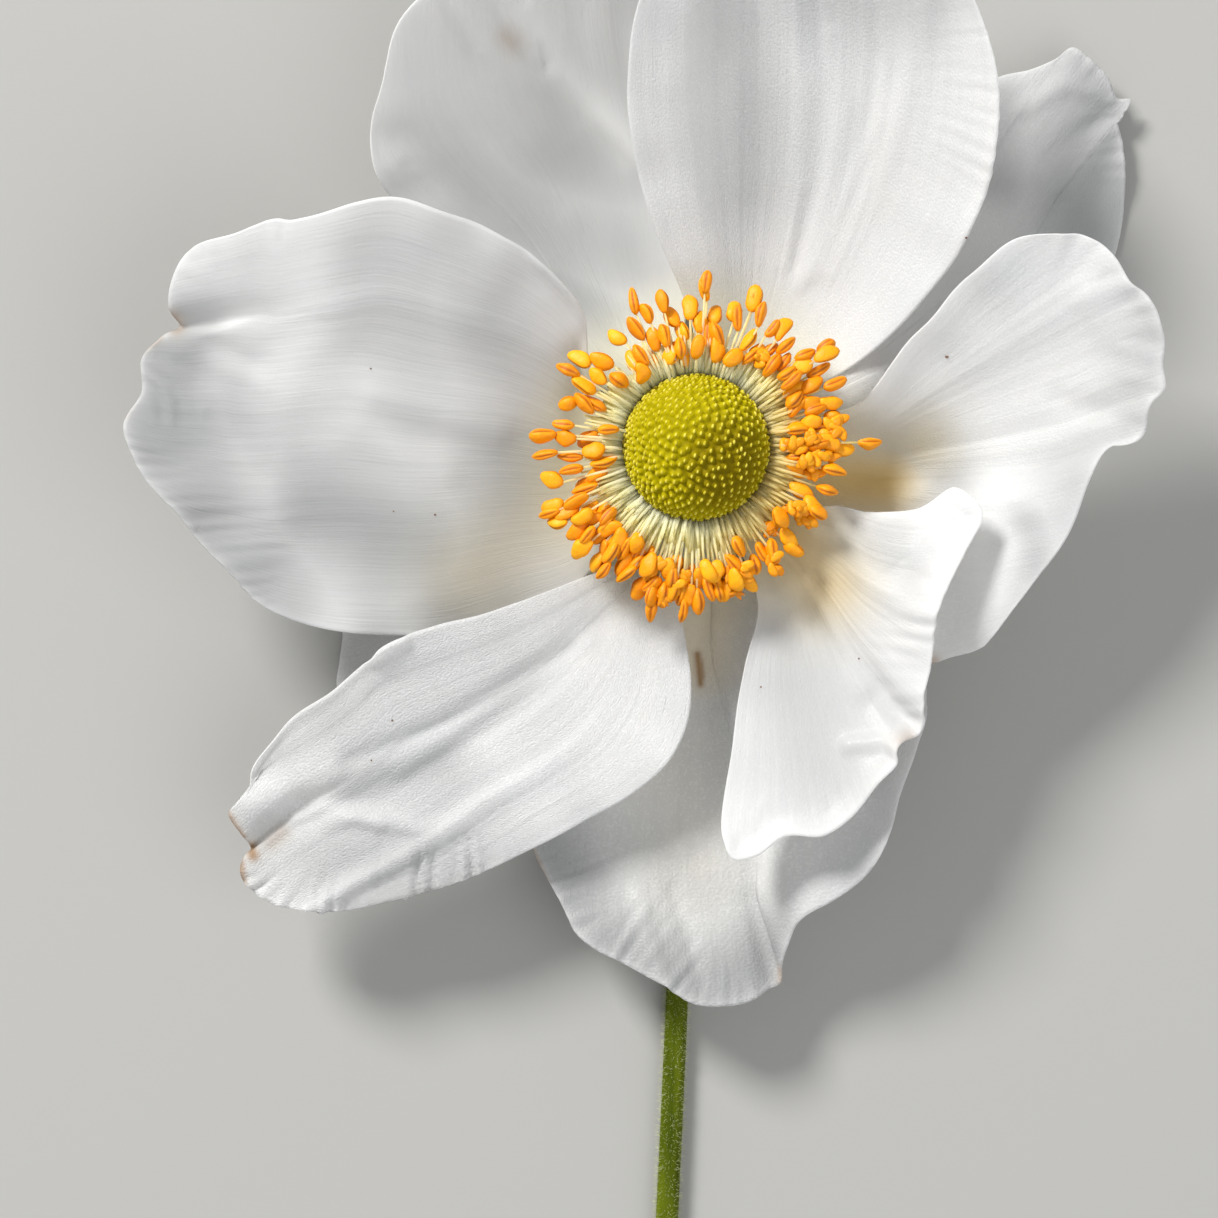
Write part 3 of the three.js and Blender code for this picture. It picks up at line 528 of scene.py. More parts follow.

# How each tepal's surface is worked, in millimetres. frost is how grainy it is, and how strongly it shows
# its painted glints, from 0 to 1. furrows and ripple are a height and a wave length, along the veins and
# along the margin. A crinkle is a run of small waves that cross the margin between two outline points:
# wave length, height, how far in it reaches and how much it slants. A curl lifts the margin between two
# outline
# points: height and reach.
# A line is a ridge, or a furrow where its height is below 0: height, half width and the places that it
# runs through, seen from above.
WORKING = {
    "left": {
        "frost": 0.05, "furrows": (0.007, 1.0), "ripple": (0.16, 6.0),
        "crinkles": ((5, 12, 0.9, 0.05, 5.5, 0.8), (15, 19, 1.3, 0.04, 3.0, 0.0)),
        "curls": ((23, 26, 0.5, 0.6),),
        "lines": (
            (0.33, 1.9, ((-22.3, 13.3), (-22.9, 10.0), (-22.4, 7.7), (-25.0, 5.2), (-26.4, 1.8),
                        (-26.8, -1.0), (-26.4, -4.1), (-27.1, -6.1))),
            (0.2, 1.2, ((-21.1, 1.0), (-18.5, -0.4), (-15.8, -1.3))),
            (0.18, 1.0, ((-20.0, 3.2), (-16.6, 2.3), (-12.5, 1.0))),
            (-0.25, 1.3, ((-30.3, 11.3), (-29.4, 8.1), (-30.8, 4.1))),
            (-0.12, 0.6, ((-32.1, 7.5), (-29.8, 6.3), (-27.4, 5.2))),
            (0.1, 0.6, ((-32.0, 5.9), (-29.4, 4.9), (-27.0, 3.8))),
        ),
    },
    "upper_left": {
        "frost": 0.08, "furrows": (0.012, 1.3), "ripple": (0.16, 6.0),
        "crinkles": ((8, 12, 1.2, 0.1, 3.0, 0.0),),
        "curls": (),
        "lines": (
            (0.35, 0.6, ((-15.8, 28.6), (-15.0, 27.2), (-14.0, 25.6))),
            (0.45, 0.7, ((-13.2, 28.9), (-11.9, 27.3), (-10.6, 25.6))),
            (-0.3, 0.6, ((-11.5, 28.2), (-10.5, 26.6), (-9.5, 24.5))),
            (0.35, 0.9, ((-10.6, 27.4), (-8.6, 24.2), (-6.2, 21.5), (-2.5, 18.0))),
            (0.1, 1.2, ((-7.0, 19.8), (-4.6, 15.2), (-2.8, 12.0))),
            (0.18, 1.4, ((-17.7, 18.9), (-14.3, 14.9), (-9.8, 11.5))),
        ),
    },
    "top": {
        "frost": 0.45, "furrows": (0.022, 0.8), "ripple": (0.14, 6.0),
        "crinkles": ((12, 19, 1.0, 0.03, 4.0, 0.4),),
        "curls": (),
        "lines": (
            (0.12, 0.4, ((6.0, 28.1), (6.6, 22.7), (6.4, 16.6), (5.7, 11.6))),
            (0.11, 0.4, ((8.3, 25.6), (9.4, 21.5), (8.5, 15.9), (6.7, 10.3))),
            (0.13, 0.45, ((10.0, 28.1), (11.9, 24.4), (11.4, 20.3), (9.0, 14.9), (7.3, 10.9))),
            (0.2, 0.9, ((14.3, 28.0), (13.3, 22.6), (11.5, 17.4), (8.5, 11.3))),
            (-0.14, 0.5, ((7.3, 28.1), (8.0, 22.7), (7.5, 16.6), (6.2, 11.6))),
            (-0.25, 2.4, ((2.3, 28.0), (2.4, 22.2), (3.1, 15.6))),
            (0.5, 1.7, ((-0.2, 28.5), (-1.3, 22.5), (-0.4, 16.0), (1.6, 9.0))),
        ),
    },
    "upper_right": {
        "frost": 0.4, "furrows": (0.012, 1.3), "ripple": (0.12, 6.0),
        "crinkles": ((7, 16, 1.3, 0.06, 2.5, 0.0),),
        "curls": (),
        "lines": (
            (-0.15, 0.6, ((21.6, 17.8), (24.8, 20.5), (27.0, 21.9))),
            (1.9, 3.0, ((9.5, 3.5), (13.0, 7.0), (17.0, 11.0), (20.0, 14.0))),
            (0.2, 0.6, ((22.6, 15.0), (25.4, 19.1), (27.1, 21.5))),
            (0.25, 0.6, ((20.6, 21.5), (23.5, 23.3), (26.4, 22.4))),
            (-0.12, 0.7, ((24.8, 14.0), (26.3, 17.8), (27.1, 20.7))),
        ),
    },
    "right": {
        "frost": 0.3, "furrows": (0.012, 1.2), "ripple": (0.16, 6.0),
        "crinkles": ((6, 16, 1.5, 0.05, 3.0, 0.3),),
        "curls": (),
        "lines": (
            (0.22, 1.0, ((24.3, 9.1), (26.5, 6.0), (28.0, 3.5))),
            (-0.22, 0.8, ((25.5, 10.3), (27.4, 7.8), (28.6, 5.3))),
            (-0.22, 0.8, ((22.7, 3.0), (25.7, 2.0), (27.7, 1.0))),
            (-0.35, 1.6, ((10.3, -1.3), (12.9, -0.8), (15.7, 0.2))),
            (0.25, 1.4, ((18.1, -3.2), (21.4, -3.6), (23.5, -4.5))),
            (0.9, 2.8, ((18.0, -11.0), (19.5, -7.5))),
        ),
    },
    "lower_right": {
        "frost": 0.22, "furrows": (0.014, 1.0), "ripple": (0.14, 5.0),
        "crinkles": ((5, 11, 1.2, 0.06, 2.5, 0.0),),
        "curls": ((11, 20, 0.45, 0.8),),
        "lines": (
            (-0.35, 0.8, ((11.0, -15.9), (12.3, -16.5), (13.5, -17.1))),
            (0.35, 0.5, ((9.6, -18.6), (11.7, -18.3), (12.7, -18.8))),
            (0.3, 1.2, ((16.7, -3.3), (14.8, -7.0), (14.0, -12.0))),
            (-0.2, 0.8, ((6.5, -10.1), (9.6, -13.3), (11.5, -15.1))),
        ),
    },
    "bottom": {
        "frost": 0.65, "furrows": (0.014, 1.0), "ripple": (0.12, 5.0),
        "crinkles": ((14, 25, 1.0, 0.08, 4.0, 0.2),),
        "curls": ((3, 11, 0.6, 2.5),),
        "lines": (
            (-0.2, 0.7, ((3.4, -28.5), (4.2, -31.3), (5.1, -33.5))),
            (0.25, 0.9, ((4.6, -27.9), (5.6, -30.3), (6.0, -32.2))),
            (0.14, 0.5, ((-0.1, -10.6), (-0.2, -19.7), (-0.8, -25.1))),
            (0.22, 0.6, ((-3.5, -28.4), (-2.9, -30.9), (-1.9, -33.7))),
            (-0.2, 0.6, ((-1.5, -27.8), (-0.6, -30.3), (0.3, -33.7))),
            (0.8, 3.2, ((12.5, -19.0), (10.5, -23.5), (7.0, -27.0))),
        ),
    },
    "lower_left": {
        "frost": 0.8, "furrows": (0.018, 0.9), "ripple": (0.14, 5.0),
        "crinkles": ((7, 14, 0.85, 0.13, 3.2, 0.35), (14, 19, 1.0, 0.05, 2.0, 0.0)),
        "curls": (),
        "lines": (
            (-0.38, 1.2, ((-6.3, -11.0), (-11.8, -16.2), (-15.8, -19.6), (-20.8, -22.0),
                         (-24.5, -22.8))),
            (-0.28, 0.6, ((-7.8, -12.6), (-15.8, -17.2), (-21.7, -19.6))),
            (0.22, 0.6, ((-6.6, -12.0), (-14.1, -17.0), (-18.5, -20.0))),
            (-0.4, 1.1, ((-24.6, -22.4), (-25.6, -23.6), (-26.5, -24.6))),
            (0.3, 1.1, ((-28.8, -22.0), (-25.8, -22.0), (-22.6, -20.4))),
            (0.3, 0.5, ((-25.0, -23.0), (-23.2, -22.5), (-19.8, -23.4))),
            (0.25, 0.5, ((-22.9, -23.4), (-20.7, -22.9), (-17.3, -23.9))),
            (0.3, 0.35, ((-20.4, -13.0), (-19.7, -12.5), (-18.3, -12.0))),
        ),
    },
    "back_left": {
        "frost": 0.5, "furrows": (0.012, 1.2), "ripple": (0.1, 6.0),
        "crinkles": (),
        "curls": (),
        "lines": (),
    },
}

# Brown tints of age: a tepal, the line that the tint runs along, its half width and its strength.
STAINS = (
    ("left", ((-32.4, 7.9), (-32.2, 7.3)), 0.5, 0.5),
    ("left", ((-34.4, 5.9), (-33.2, 6.7)), 0.25, 0.4),
    ("left", ((-35.4, 2.0), (-35.0, 2.9)), 0.25, 0.3),
    ("upper_left", ((-11.9, 25.9), (-11.5, 25.6)), 0.7, 0.22),
    ("right", ((14.3, -13.5), (14.9, -13.4)), 0.45, 0.45),
    ("lower_right", ((12.8, -18.4), (13.2, -18.1)), 0.5, 0.25),
    ("bottom", ((0.1, -12.9), (0.3, -14.8)), 0.22, 0.85),
    ("bottom", ((0.3, -13.4), (0.4, -14.4)), 0.2, 0.7),
    ("bottom", ((5.4, -32.8), (5.4, -33.6)), 0.25, 0.35),
    ("bottom", ((-9.3, -27.3), (-10.3, -25.0)), 0.15, 0.35),
    ("lower_left", ((-27.7, -25.5), (-27.9, -25.0)), 0.35, 0.85),
    ("lower_left", ((-29.3, -22.8), (-28.4, -24.3)), 0.22, 0.7),
    ("lower_left", ((-28.5, -25.9), (-28.4, -27.2)), 0.25, 0.75),
    ("lower_left", ((-26.6, -24.8), (-25.8, -24.1)), 0.5, 0.25),
)

# Painted warm shade: yellowish tints in hollows and shaded places, most of them near the stamens, where
# the light comes tinted by them, given like the stains.
PAINTED_WARM_SHADE = (
    ("right", ((8.5, -1.8), (11.8, -2.1)), 2.2, 0.9),
    ("right", ((10.0, 0.0), (14.0, 0.3)), 2.4, 0.3),
    ("lower_right", ((5.5, -5.5), (8.0, -8.5)), 2.6, 0.6),
    ("bottom", ((0.3, -9.5), (0.3, -13.0)), 2.2, 0.5),
    ("bottom", ((-2.0, -19.0), (0.0, -26.0)), 4.0, 0.08),
    ("left", ((-7.0, -2.0), (-10.0, -5.0), (-14.0, -8.0)), 3.5, 0.2),
)

# Painted light: pale places, where a fold or a hollow catches more light, given like the stains.
PAINTED_LIGHT_PLACES = (
    ("upper_left", ((-10.6, 27.4), (-8.6, 24.2), (-6.2, 21.5), (-3.9, 18.8)), 1.0, 0.8),
    ("upper_left", ((-13.2, 23.5), (-11.0, 20.8)), 1.8, 0.25),
    ("left", ((-24.0, 8.5), (-24.0, 2.5)), 2.0, 0.6),
    ("upper_right", ((8.0, 4.0), (14.0, 9.5), (18.0, 13.5)), 2.0, 1.0),
    ("right", ((12.0, 4.0), (16.0, 8.5)), 2.4, 1.0),
    ("right", ((17.5, -4.5), (18.3, -9.0)), 1.2, 0.8),
    ("bottom", ((0.0, -9.0), (0.5, -13.0)), 1.8, 0.7),
)

# Painted shade: places where the tepals are greyed to stand in for shade and cast shadows, given like the
# stains.
PAINTED_SHADE_PLACES = (
    ("left", ((-34.0, 6.0), (-33.0, 0.0), (-28.5, -8.0)), 5.0, 0.72),
    ("left", ((-29.5, 3.5), (-27.5, -1.0)), 2.5, 0.4),
    ("left", ((-11.0, -1.5), (-11.5, -5.0), (-15.0, -9.5)), 4.2, 0.74),
    ("left", ((-18.5, 11.0), (-17.5, 3.0), (-17.5, -4.0)), 2.6, 0.16),
    ("left", ((-23.5, -3.5), (-20.0, -5.5), (-16.0, -7.0)), 4.0, 0.7),
    ("left", ((-13.0, 8.5), (-10.5, 3.0)), 3.0, 0.3),
    ("upper_left", ((-14.0, 15.0), (-9.0, 13.5), (-5.0, 12.5)), 4.0, 0.6),
    ("upper_left", ((-9.5, 19.0), (-5.0, 17.0)), 4.0, 0.42),
    ("upper_left", ((-9.0, 10.5), (-5.0, 8.5)), 2.2, 0.6),
    ("top", ((2.0, 28.0), (3.2, 22.0), (3.5, 15.0)), 2.4, 0.25),
    ("top", ((8.0, 29.0), (13.5, 28.0)), 3.5, 0.42),
    ("upper_right", ((25.5, 23.0), (24.5, 14.0)), 3.2, 0.7),
    ("upper_right", ((19.0, 22.0), (19.0, 17.0)), 2.0, 0.5),
    ("right", ((28.5, 7.5), (28.0, 1.5), (24.0, -2.0)), 3.0, 0.42),
    ("right", ((20.0, -12.0), (21.5, -6.0)), 3.4, 0.14),
    ("right", ((20.6, -4.8), (21.3, -7.4)), 1.3, 0.5),
    ("right", ((13.2, 1.2), (15.6, -1.6)), 2.0, 0.72),
    ("bottom", ((-9.5, -25.0), (-6.5, -31.0), (0.0, -34.0), (5.0, -32.5)), 3.4, 0.8),
    ("bottom", ((-5.0, -26.0), (1.0, -28.0)), 3.0, 0.3),
    ("bottom", ((14.0, -17.0), (12.5, -24.0), (8.5, -28.5)), 2.4, 0.4),
    ("lower_right", ((6.0, -12.0), (8.0, -20.0)), 4.0, 0.35),
    ("lower_right", ((9.5, -5.5), (12.5, -7.0)), 2.2, 0.35),
    ("lower_right", ((7.5, -5.0), (9.5, -7.5)), 1.8, 0.4),
    ("lower_right", ((4.2, -7.4), (5.6, -9.2)), 1.2, 0.4),
    ("lower_left", ((-27.0, -25.0), (-18.0, -25.5)), 3.0, 0.35),
    ("lower_left", ((-21.0, -21.0), (-16.0, -20.0)), 2.5, 0.45),
    ("lower_left", ((-22.0, -18.0), (-12.0, -14.5)), 3.6, 0.22),
)

# Dark specks of dust and pollen: a tepal, the place and the radius.
SPECKS = (
    ("right", (15.7, 5.7), 0.12),
    ("left", (-20.2, 5.0), 0.06),
    ("left", (-16.3, -4.2), 0.07),
    ("left", (-19.0, -3.9), 0.05),
    ("top", (17.6, 12.6), 0.08),
    ("lower_left", (-18.9, -17.0), 0.07),
    ("lower_left", (-20.3, -19.6), 0.06),
    ("lower_right", (10.2, -13.2), 0.06),
    ("lower_right", (4.1, -15.0), 0.06),
    ("bottom", (2.4, -21.5), 0.06),
)


def smooth_step(value, start, end):
    share = np.clip((value - start) / (end - start), 0, 1)
    return share * share * (3 - 2 * share)


def bell(distance, half_width):
    """1 at no distance, falling softly to 0."""
    return np.exp(-((distance / half_width) ** 2))


def in_frame(points):
    """Points in millimetres from the flower's axis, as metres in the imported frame."""
    return np.asarray(points, float) * MM + np.array([AXIS_X, AXIS_Y, 0])


def unit(vectors):
    return vectors / np.maximum(np.linalg.norm(vectors, axis=-1, keepdims=True), SHORTEST)


def smooth_curve(points, step):
    """A centripetal Catmull-Rom curve. Returns its points, and each one's place among the given ones."""
    points = np.asarray(points, float)
    padded = np.vstack([2 * points[0] - points[1], points, 2 * points[-1] - points[-2]])
    chords = np.linalg.norm(np.diff(padded, axis=0), axis=1)
    spans = np.sqrt(chords)[:, None]
    slopes = np.diff(padded, axis=0) / spans
    found = []
    places = []
    for i in range(1, len(points)):
        count = max(2, round(chords[i] / step))
        t = np.arange(count)[:, None] / count
        across = (padded[i + 1] - padded[i - 1]) / (spans[i - 1] + spans[i])
        beyond = (padded[i + 2] - padded[i]) / (spans[i] + spans[i + 1])
        leaving = (slopes[i - 1] - across + slopes[i]) * spans[i]
        arriving = (slopes[i] - beyond + slopes[i + 1]) * spans[i]
        found.append(
            (2 * t**3 - 3 * t**2 + 1) * padded[i]
            + (t**3 - 2 * t**2 + t) * leaving
            + (3 * t**2 - 2 * t**3) * padded[i + 1]
            + (t**3 - t**2) * arriving
        )
        places.append(i - 1 + t[:, 0])
    places.append([len(points) - 1])
    return np.vstack(found + [points[-1:]]), np.concatenate(places)


def length_of(points):
    return np.linalg.norm(np.diff(points, axis=0), axis=1).sum()


def length_shares(points):
    lengths = np.linalg.norm(np.diff(points, axis=0), axis=1)
    return np.concatenate([[0], np.cumsum(lengths)]) / lengths.sum()


def waves(random, across, along, count, drift):
    """Soft irregular ridges, mostly from -1 to 1: about count of them across, drifting a little along."""
    total = np.zeros(np.broadcast(across, along).shape)
    for _ in range(WAVE_TERMS):
        pace = count * random.uniform(*WAVE_PACES)
        lean = drift * random.uniform(-1, 1)
        start = random.uniform(0, 2 * math.pi)
        total += np.sin(2 * math.pi * (pace * across + lean * along) + start)
    return total / math.sqrt(WAVE_TERMS)


# Bodies made of rings of points

def rings(centres, radii, side, front, sides):
    """Rings of points about their centres. Each starts at its side and goes on through its front.

    There is one radius for each ring, or one for each of its points.
    """
    centres = np.asarray(centres, float)
    turns = 2 * math.pi * np.arange(sides)[:, None] / sides
    ring = np.atleast_2d(side)[:, None] * np.cos(turns) + np.atleast_2d(front)[:, None] * np.sin(turns)
    return (centres[:, None] + np.reshape(radii, (len(centres), -1, 1)) * ring).reshape(-1, 3)


def ring_faces(levels, sides, closed=False):
    """Faces between each ring and the next one, and from the last to the first where it is closed."""
    faces = []
    for level in range(levels if closed else levels - 1):
        low = level * sides
        high = (level + 1) % levels * sides
        for k in range(sides):
            after = (k + 1) % sides
            faces.append([low + k, low + after, high + after, high + k])
    return faces


def capped(levels, sides):
    """The faces of a body that ends in a filled ring at both ends."""
    last = (levels - 1) * sides
    ends = [list(range(sides))[::-1], list(range(last, last + sides))]
    return ring_faces(levels, sides) + ends


def pointed(levels, sides):
    """The faces of a body that begins with a filled ring and ends in a point."""
    last = (levels - 1) * sides
    tip = [[last + k, last + (k + 1) % sides, last + sides] for k in range(sides)]
    return ring_faces(levels, sides) + tip + [list(range(sides))[::-1]]


def turned_over(faces):
    return [face[:1] + face[:0:-1] for face in faces]


def tube(path, radii, ahead, side, sides):
    """Points and faces of a closed tube along a path."""
    points = rings(path, radii, side, np.cross(side, ahead), sides)
    return points, turned_over(capped(len(path), sides))


def turned(name, profile, sides):
    """A closed ring or body turned round the flower's axis from a profile of radius and height."""
    centres = [(0, 0, height) for _, height in profile]
    radii = [radius for radius, _ in profile]
    points = rings(centres, radii, (1, 0, 0), (0, 1, 0), sides)
    return mesh_object(name, points, ring_faces(len(profile), sides, closed=True))


def mesh_object(name, points, faces, smooth=True):
    mesh = bpy.data.meshes.new(name)
    mesh.from_pydata([tuple(point) for point in in_frame(points)], [], faces)
    mesh.polygons.foreach_set("use_smooth", [smooth] * len(mesh.polygons))
    mesh.update()
    piece = bpy.data.objects.new(name, mesh)
    bpy.context.scene.collection.objects.link(piece)
    return piece


def keep_numbers(piece, name, values):
    """Stores one number or one vector for each vertex, for the material to read."""
    values = np.asarray(values, np.float32)
    kind, field = ("FLOAT", "value") if values.ndim == 1 else ("FLOAT_VECTOR", "vector")
    layer = piece.data.attributes.new(name, kind, "POINT")
    layer.data.foreach_set(field, values.ravel())


class Heap:
    """Many small closed bodies gathered into one mesh, with the numbers kept for each point."""

    def __init__(self):
        self.points = []
        self.faces = []
        self.kept = {}
        self.count = 0

    def add(self, points, faces, **numbers):
        self.points.append(points)
        self.faces += [[self.count + k for k in face] for face in faces]
        self.count += len(points)
        for name, values in numbers.items():
            self.kept.setdefault(name, []).append(np.broadcast_to(values, len(points)))

    def piece(self, name, smooth=True):
        made = mesh_object(name, np.vstack(self.points), self.faces, smooth)
        for kept_name, values in self.kept.items():
            keep_numbers(made, kept_name, np.concatenate(values))
        return made


def stand_for(piece, slot, material, *nodes):
    piece.data.materials.append(material)
    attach(piece, "root")
    if nodes:
        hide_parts(*nodes)


# Tepals

def evenly_spaced(points, count):
    """Points at even distances along a line, from its first to its last."""
    run = length_shares(points)
    share = np.linspace(0, 1, count)
    return np.stack([np.interp(share, run, points[:, axis]) for axis in range(3)], 1)


def margin_detail(margin):
    """How far the margin's small ups and downs, such as its notches, leave its smoothed height."""
    run = length_shares(margin) * length_of(margin)
    weights = bell(run[:, None] - run[None, :], MARGIN_SMOOTHING)
    smoothed = weights @ margin[:, 2] / weights.sum(1)
    from_ends = np.minimum(run, run[-1] - run)
    return (margin[:, 2] - smoothed) * smooth_step(from_ends, 0, MARGIN_SMOOTHING)


def claw_at(tepal, share):
    """The points of a tepal's claw at each share of its width."""
    angle = math.radians(tepal["claw"]) + math.radians(CLAW_HALF_ANGLE) * (1 - 2 * share)
    height = np.full_like(angle, tepal["layer"])
    return np.stack([CLAW_RADIUS * np.cos(angle), CLAW_RADIUS * np.sin(angle), height], -1)


def tepal_middle(tepal):
    """The tepal's middle surface, stretched between its claw, its two sides and its outer margin.

    Returns it as columns of points from claw to margin, with each column's share of the margin and
    each row's way out from the claw.
    """
    first_claw = claw_at(tepal, np.array(0.0))
    last_claw = claw_at(tepal, np.array(1.0))
    outline = np.array(tepal["outline"], float)
    first_end, last_start = tepal["tip"]
    whole, places = smooth_curve(np.vstack([first_claw, outline, last_claw]), COLUMN_STEP)
    places = places - 1
    outer = (places >= first_end) & (places <= last_start)
    margin = whole[outer]
    first_side = evenly_spaced(whole[places <= first_end], ROWS + 1)
    last_side = evenly_spaced(whole[places >= last_start][::-1], ROWS + 1)
    margin_shares = length_shares(outline[first_end:last_start + 1])
    column_share = np.interp(places[outer] - first_end, np.arange(len(margin_shares)), margin_shares)
    share = column_share[:, None]
    way = np.linspace(0, 1, ROWS + 1)[None, :]
    u = share[..., None]
    v = way[..., None]
    grid = (1 - u) * first_side[None] + u * last_side[None]
    grid = grid + (1 - v) * claw_at(tepal, column_share)[:, None] + v * margin[:, None]
    grid = grid - (1 - v) * ((1 - u) * first_claw + u * last_claw)
    grid = grid - v * ((1 - u) * margin[0] + u * margin[-1])
    grid[..., 2] -= 4 * tepal["sag"] * way * (1 - way) * np.sin(math.pi * share)
    inside = way * (1 - smooth_step(way, MARGIN_DETAIL_STARTS, 1))
    grid[..., 2] -= margin_detail(margin)[:, None] * inside
    for number, height, width, begins, full in tepal["folds"]:
        across = bell(share - margin_shares[number - first_end], width)
        grid[..., 2] += height * across * smooth_step(way, begins, full)
    return grid, share, way


def edge_places(grid):
    """How far each point is from the tepal's edge, and the run along the edge to the place nearest.

    The edge goes from the claw along the first side, the outer margin and the last side. Also returns
    the edge's points and the run at each.
    """
    edge = np.vstack([grid[0, :-1], grid[:, -1], grid[-1, -2::-1]])
    length = length_of(edge)
    edge = evenly_spaced(edge, round(length / EDGE_STEP) + 1)
    run = np.linspace(0, length, len(edge))
    distance = np.empty(grid.shape[:2])
    nearest = np.empty(grid.shape[:2], int)
    for row in range(grid.shape[1]):
        gaps = np.linalg.norm(grid[:, row, None, :2] - edge[None, :, :2], axis=2)
        nearest[:, row] = gaps.argmin(1)
        distance[:, row] = gaps.min(1)
    return distance, run[nearest], edge, run


def distance_to_line(grid, line):
    """How far each point is from a line of straight pieces, seen from above."""
    line = np.array(line, float)
    places = grid[..., :2]
    nearest = np.full(places.shape[:-1], np.inf)
    for start, end in zip(line[:-1], line[1:]):
        piece = end - start
        share = np.clip(((places - start) @ piece) / (piece @ piece), 0, 1)
        gap = np.linalg.norm(places - start - share[..., None] * piece, axis=-1)
        nearest = np.minimum(nearest, gap)
    return nearest


def softened(values, passes):
    """Each value shared out to its neighbours, as many times as passes says."""
    for _ in range(passes):
        wide = np.pad(values, 1, mode="edge")
        beside = wide[:-2, 1:-1] + wide[2:, 1:-1] + wide[1:-1, :-2] + wide[1:-1, 2:]
        values = (beside + 2 * values) / 6
    return values


def normals_of(grid):
    around = np.gradient(grid, axis=0)
    outwards = np.gradient(grid, axis=1)
    across = np.cross(around, outwards)
    return unit(np.stack([softened(across[..., axis], NORMAL_PASSES) for axis in range(3)], -1))


def within(run, start, end, soft):
    """1 between two places along the edge and 0 outside, with soft ends."""
    return smooth_step(run, start - soft, start + soft) * (1 - smooth_step(run, end - soft, end + soft))


def surface_lift(name, number, grid, share, way):
    """How far each point of a tepal rises from its plain form: furrows, waves, curls and ridges.

    Also returns how far each point is from the tepal's edge.
    """
    random = np.random.default_rng(TEPAL_SEED + number)
    working = WORKING[name]
    distance, run, edge, edge_run = edge_places(grid)

    def stretch(first, last, soft):
        """1 along the edge between two of the outline's points, by their numbers."""
        ends = []
        for outline_point in (first, last):
            away = np.linalg.norm(edge - TEPALS[name]["outline"][outline_point], axis=1)
            ends.append(edge_run[away.argmin()])
        return within(run, *ends, soft)

    jumps = np.hypot(*np.gradient(run)) > LARGEST_EDGE_MOVE
    breaks = softened(jumps.astype(float), BREAK_PASSES)
    outwards = np.clip(1 - BREAK_STEEPNESS * breaks, 0, 1) * smooth_step(way, *WAVES_RISE)
    height, length = working["furrows"]
    inside = smooth_step(way, *FURROWS_RISE)
    inside = inside * (1 - FURROW_LOSS * bell(distance, FURROW_CLEARANCE))
    across = share * length_of(grid[:, -1]) / length
    lift = height * waves(random, across, way, 1, FURROW_DRIFT) * inside
    height, length = working["ripple"]
    near_edge = np.exp(-distance / RIPPLE_REACH) * outwards
    lift += height * waves(random, run / length, 0 * way, 1, 0) * near_edge
    for first, last, length, height, reach, slant in working["crinkles"]:
        fade = bell(distance, reach) * stretch(first, last, CRINKLE_FADE) * outwards
        phase = (run + slant * distance) / length
        lift += height * waves(random, phase, distance / CRINKLE_CHANGE, 1, 1) * fade
    for first, last, height, reach in working["curls"]:
        lift += height * bell(distance, reach) * stretch(first, last, CURL_FADE)
    for height, half_width, line in working["lines"]:
        lift += height * bell(distance_to_line(grid, line), half_width)
    return lift, distance


def tints(name, grid, marks):
    """The strongest of a tepal's soft tints at each point."""
    strongest = np.zeros(grid.shape[:2])
    for owner, line, half_width, strength in marks:
        if owner == name:
            tint = strength * bell(distance_to_line(grid, line), half_width)
            strongest = np.maximum(strongest, tint)
    return strongest


def blade_faces(columns, rows):
    """The faces of a blade whose upper points are numbered first and its lower ones after them."""
    upper = np.arange(columns * rows).reshape(columns, rows)
    shift = columns * rows
    above = np.stack([upper[:-1, :-1], upper[1:, :-1], upper[1:, 1:], upper[:-1, 1:]], -1)
    above = above.reshape(-1, 4)
    below = above[:, [0, 3, 2, 1]] + shift
    rim = np.concatenate([upper[:-1, 0], upper[-1, :-1], upper[:0:-1, -1], upper[0, :0:-1]])
    ahead = np.roll(rim, -1)
    round_rim = np.stack([ahead, rim, rim + shift, ahead + shift], 1)
    return np.concatenate([above, below, round_rim]).tolist()


def keep_looks(piece, name, number, grid, share, distance, way):
    """Stores what the tepals' material reads, for the upper points and again for the lower ones."""
    run = np.linalg.norm(np.diff(grid, axis=1), axis=2).cumsum(1)
    run = np.concatenate([np.zeros((len(grid), 1)), run], 1)
    across = np.broadcast_to(share * GRAIN_WIDTH, run.shape)
    layer = np.full_like(run, number * GRAIN_SHIFT)
    # Painted light: a pale band along the margin.
    edge = np.exp(-distance / MARGIN_LIGHT_REACH) * smooth_step(way, *MARGIN_LIGHT_RISE)
    pale = tints(name, grid, PAINTED_LIGHT_PLACES)
    looks = {
        "grain": np.stack([across, run, layer], -1),
        "claw": 1 - smooth_step(run, *CLAW_FLUSH),
        # Painted light: the margin's pale band and the pale places.
        "edge": np.maximum(edge, pale),
        "stain": tints(name, grid, STAINS),
        # Painted warm shade.
        "painted_warm_shade": tints(name, grid, PAINTED_WARM_SHADE),
        # Painted grey shade, kept off the places of painted light.
        "painted_shade": tints(name, grid, PAINTED_SHADE_PLACES) * (1 - pale),
        "frost": np.full_like(run, WORKING[name]["frost"]),
    }
    for look, values in looks.items():
        flat = values.reshape(-1, *values.shape[2:])
        keep_numbers(piece, look, np.concatenate([flat, flat]))


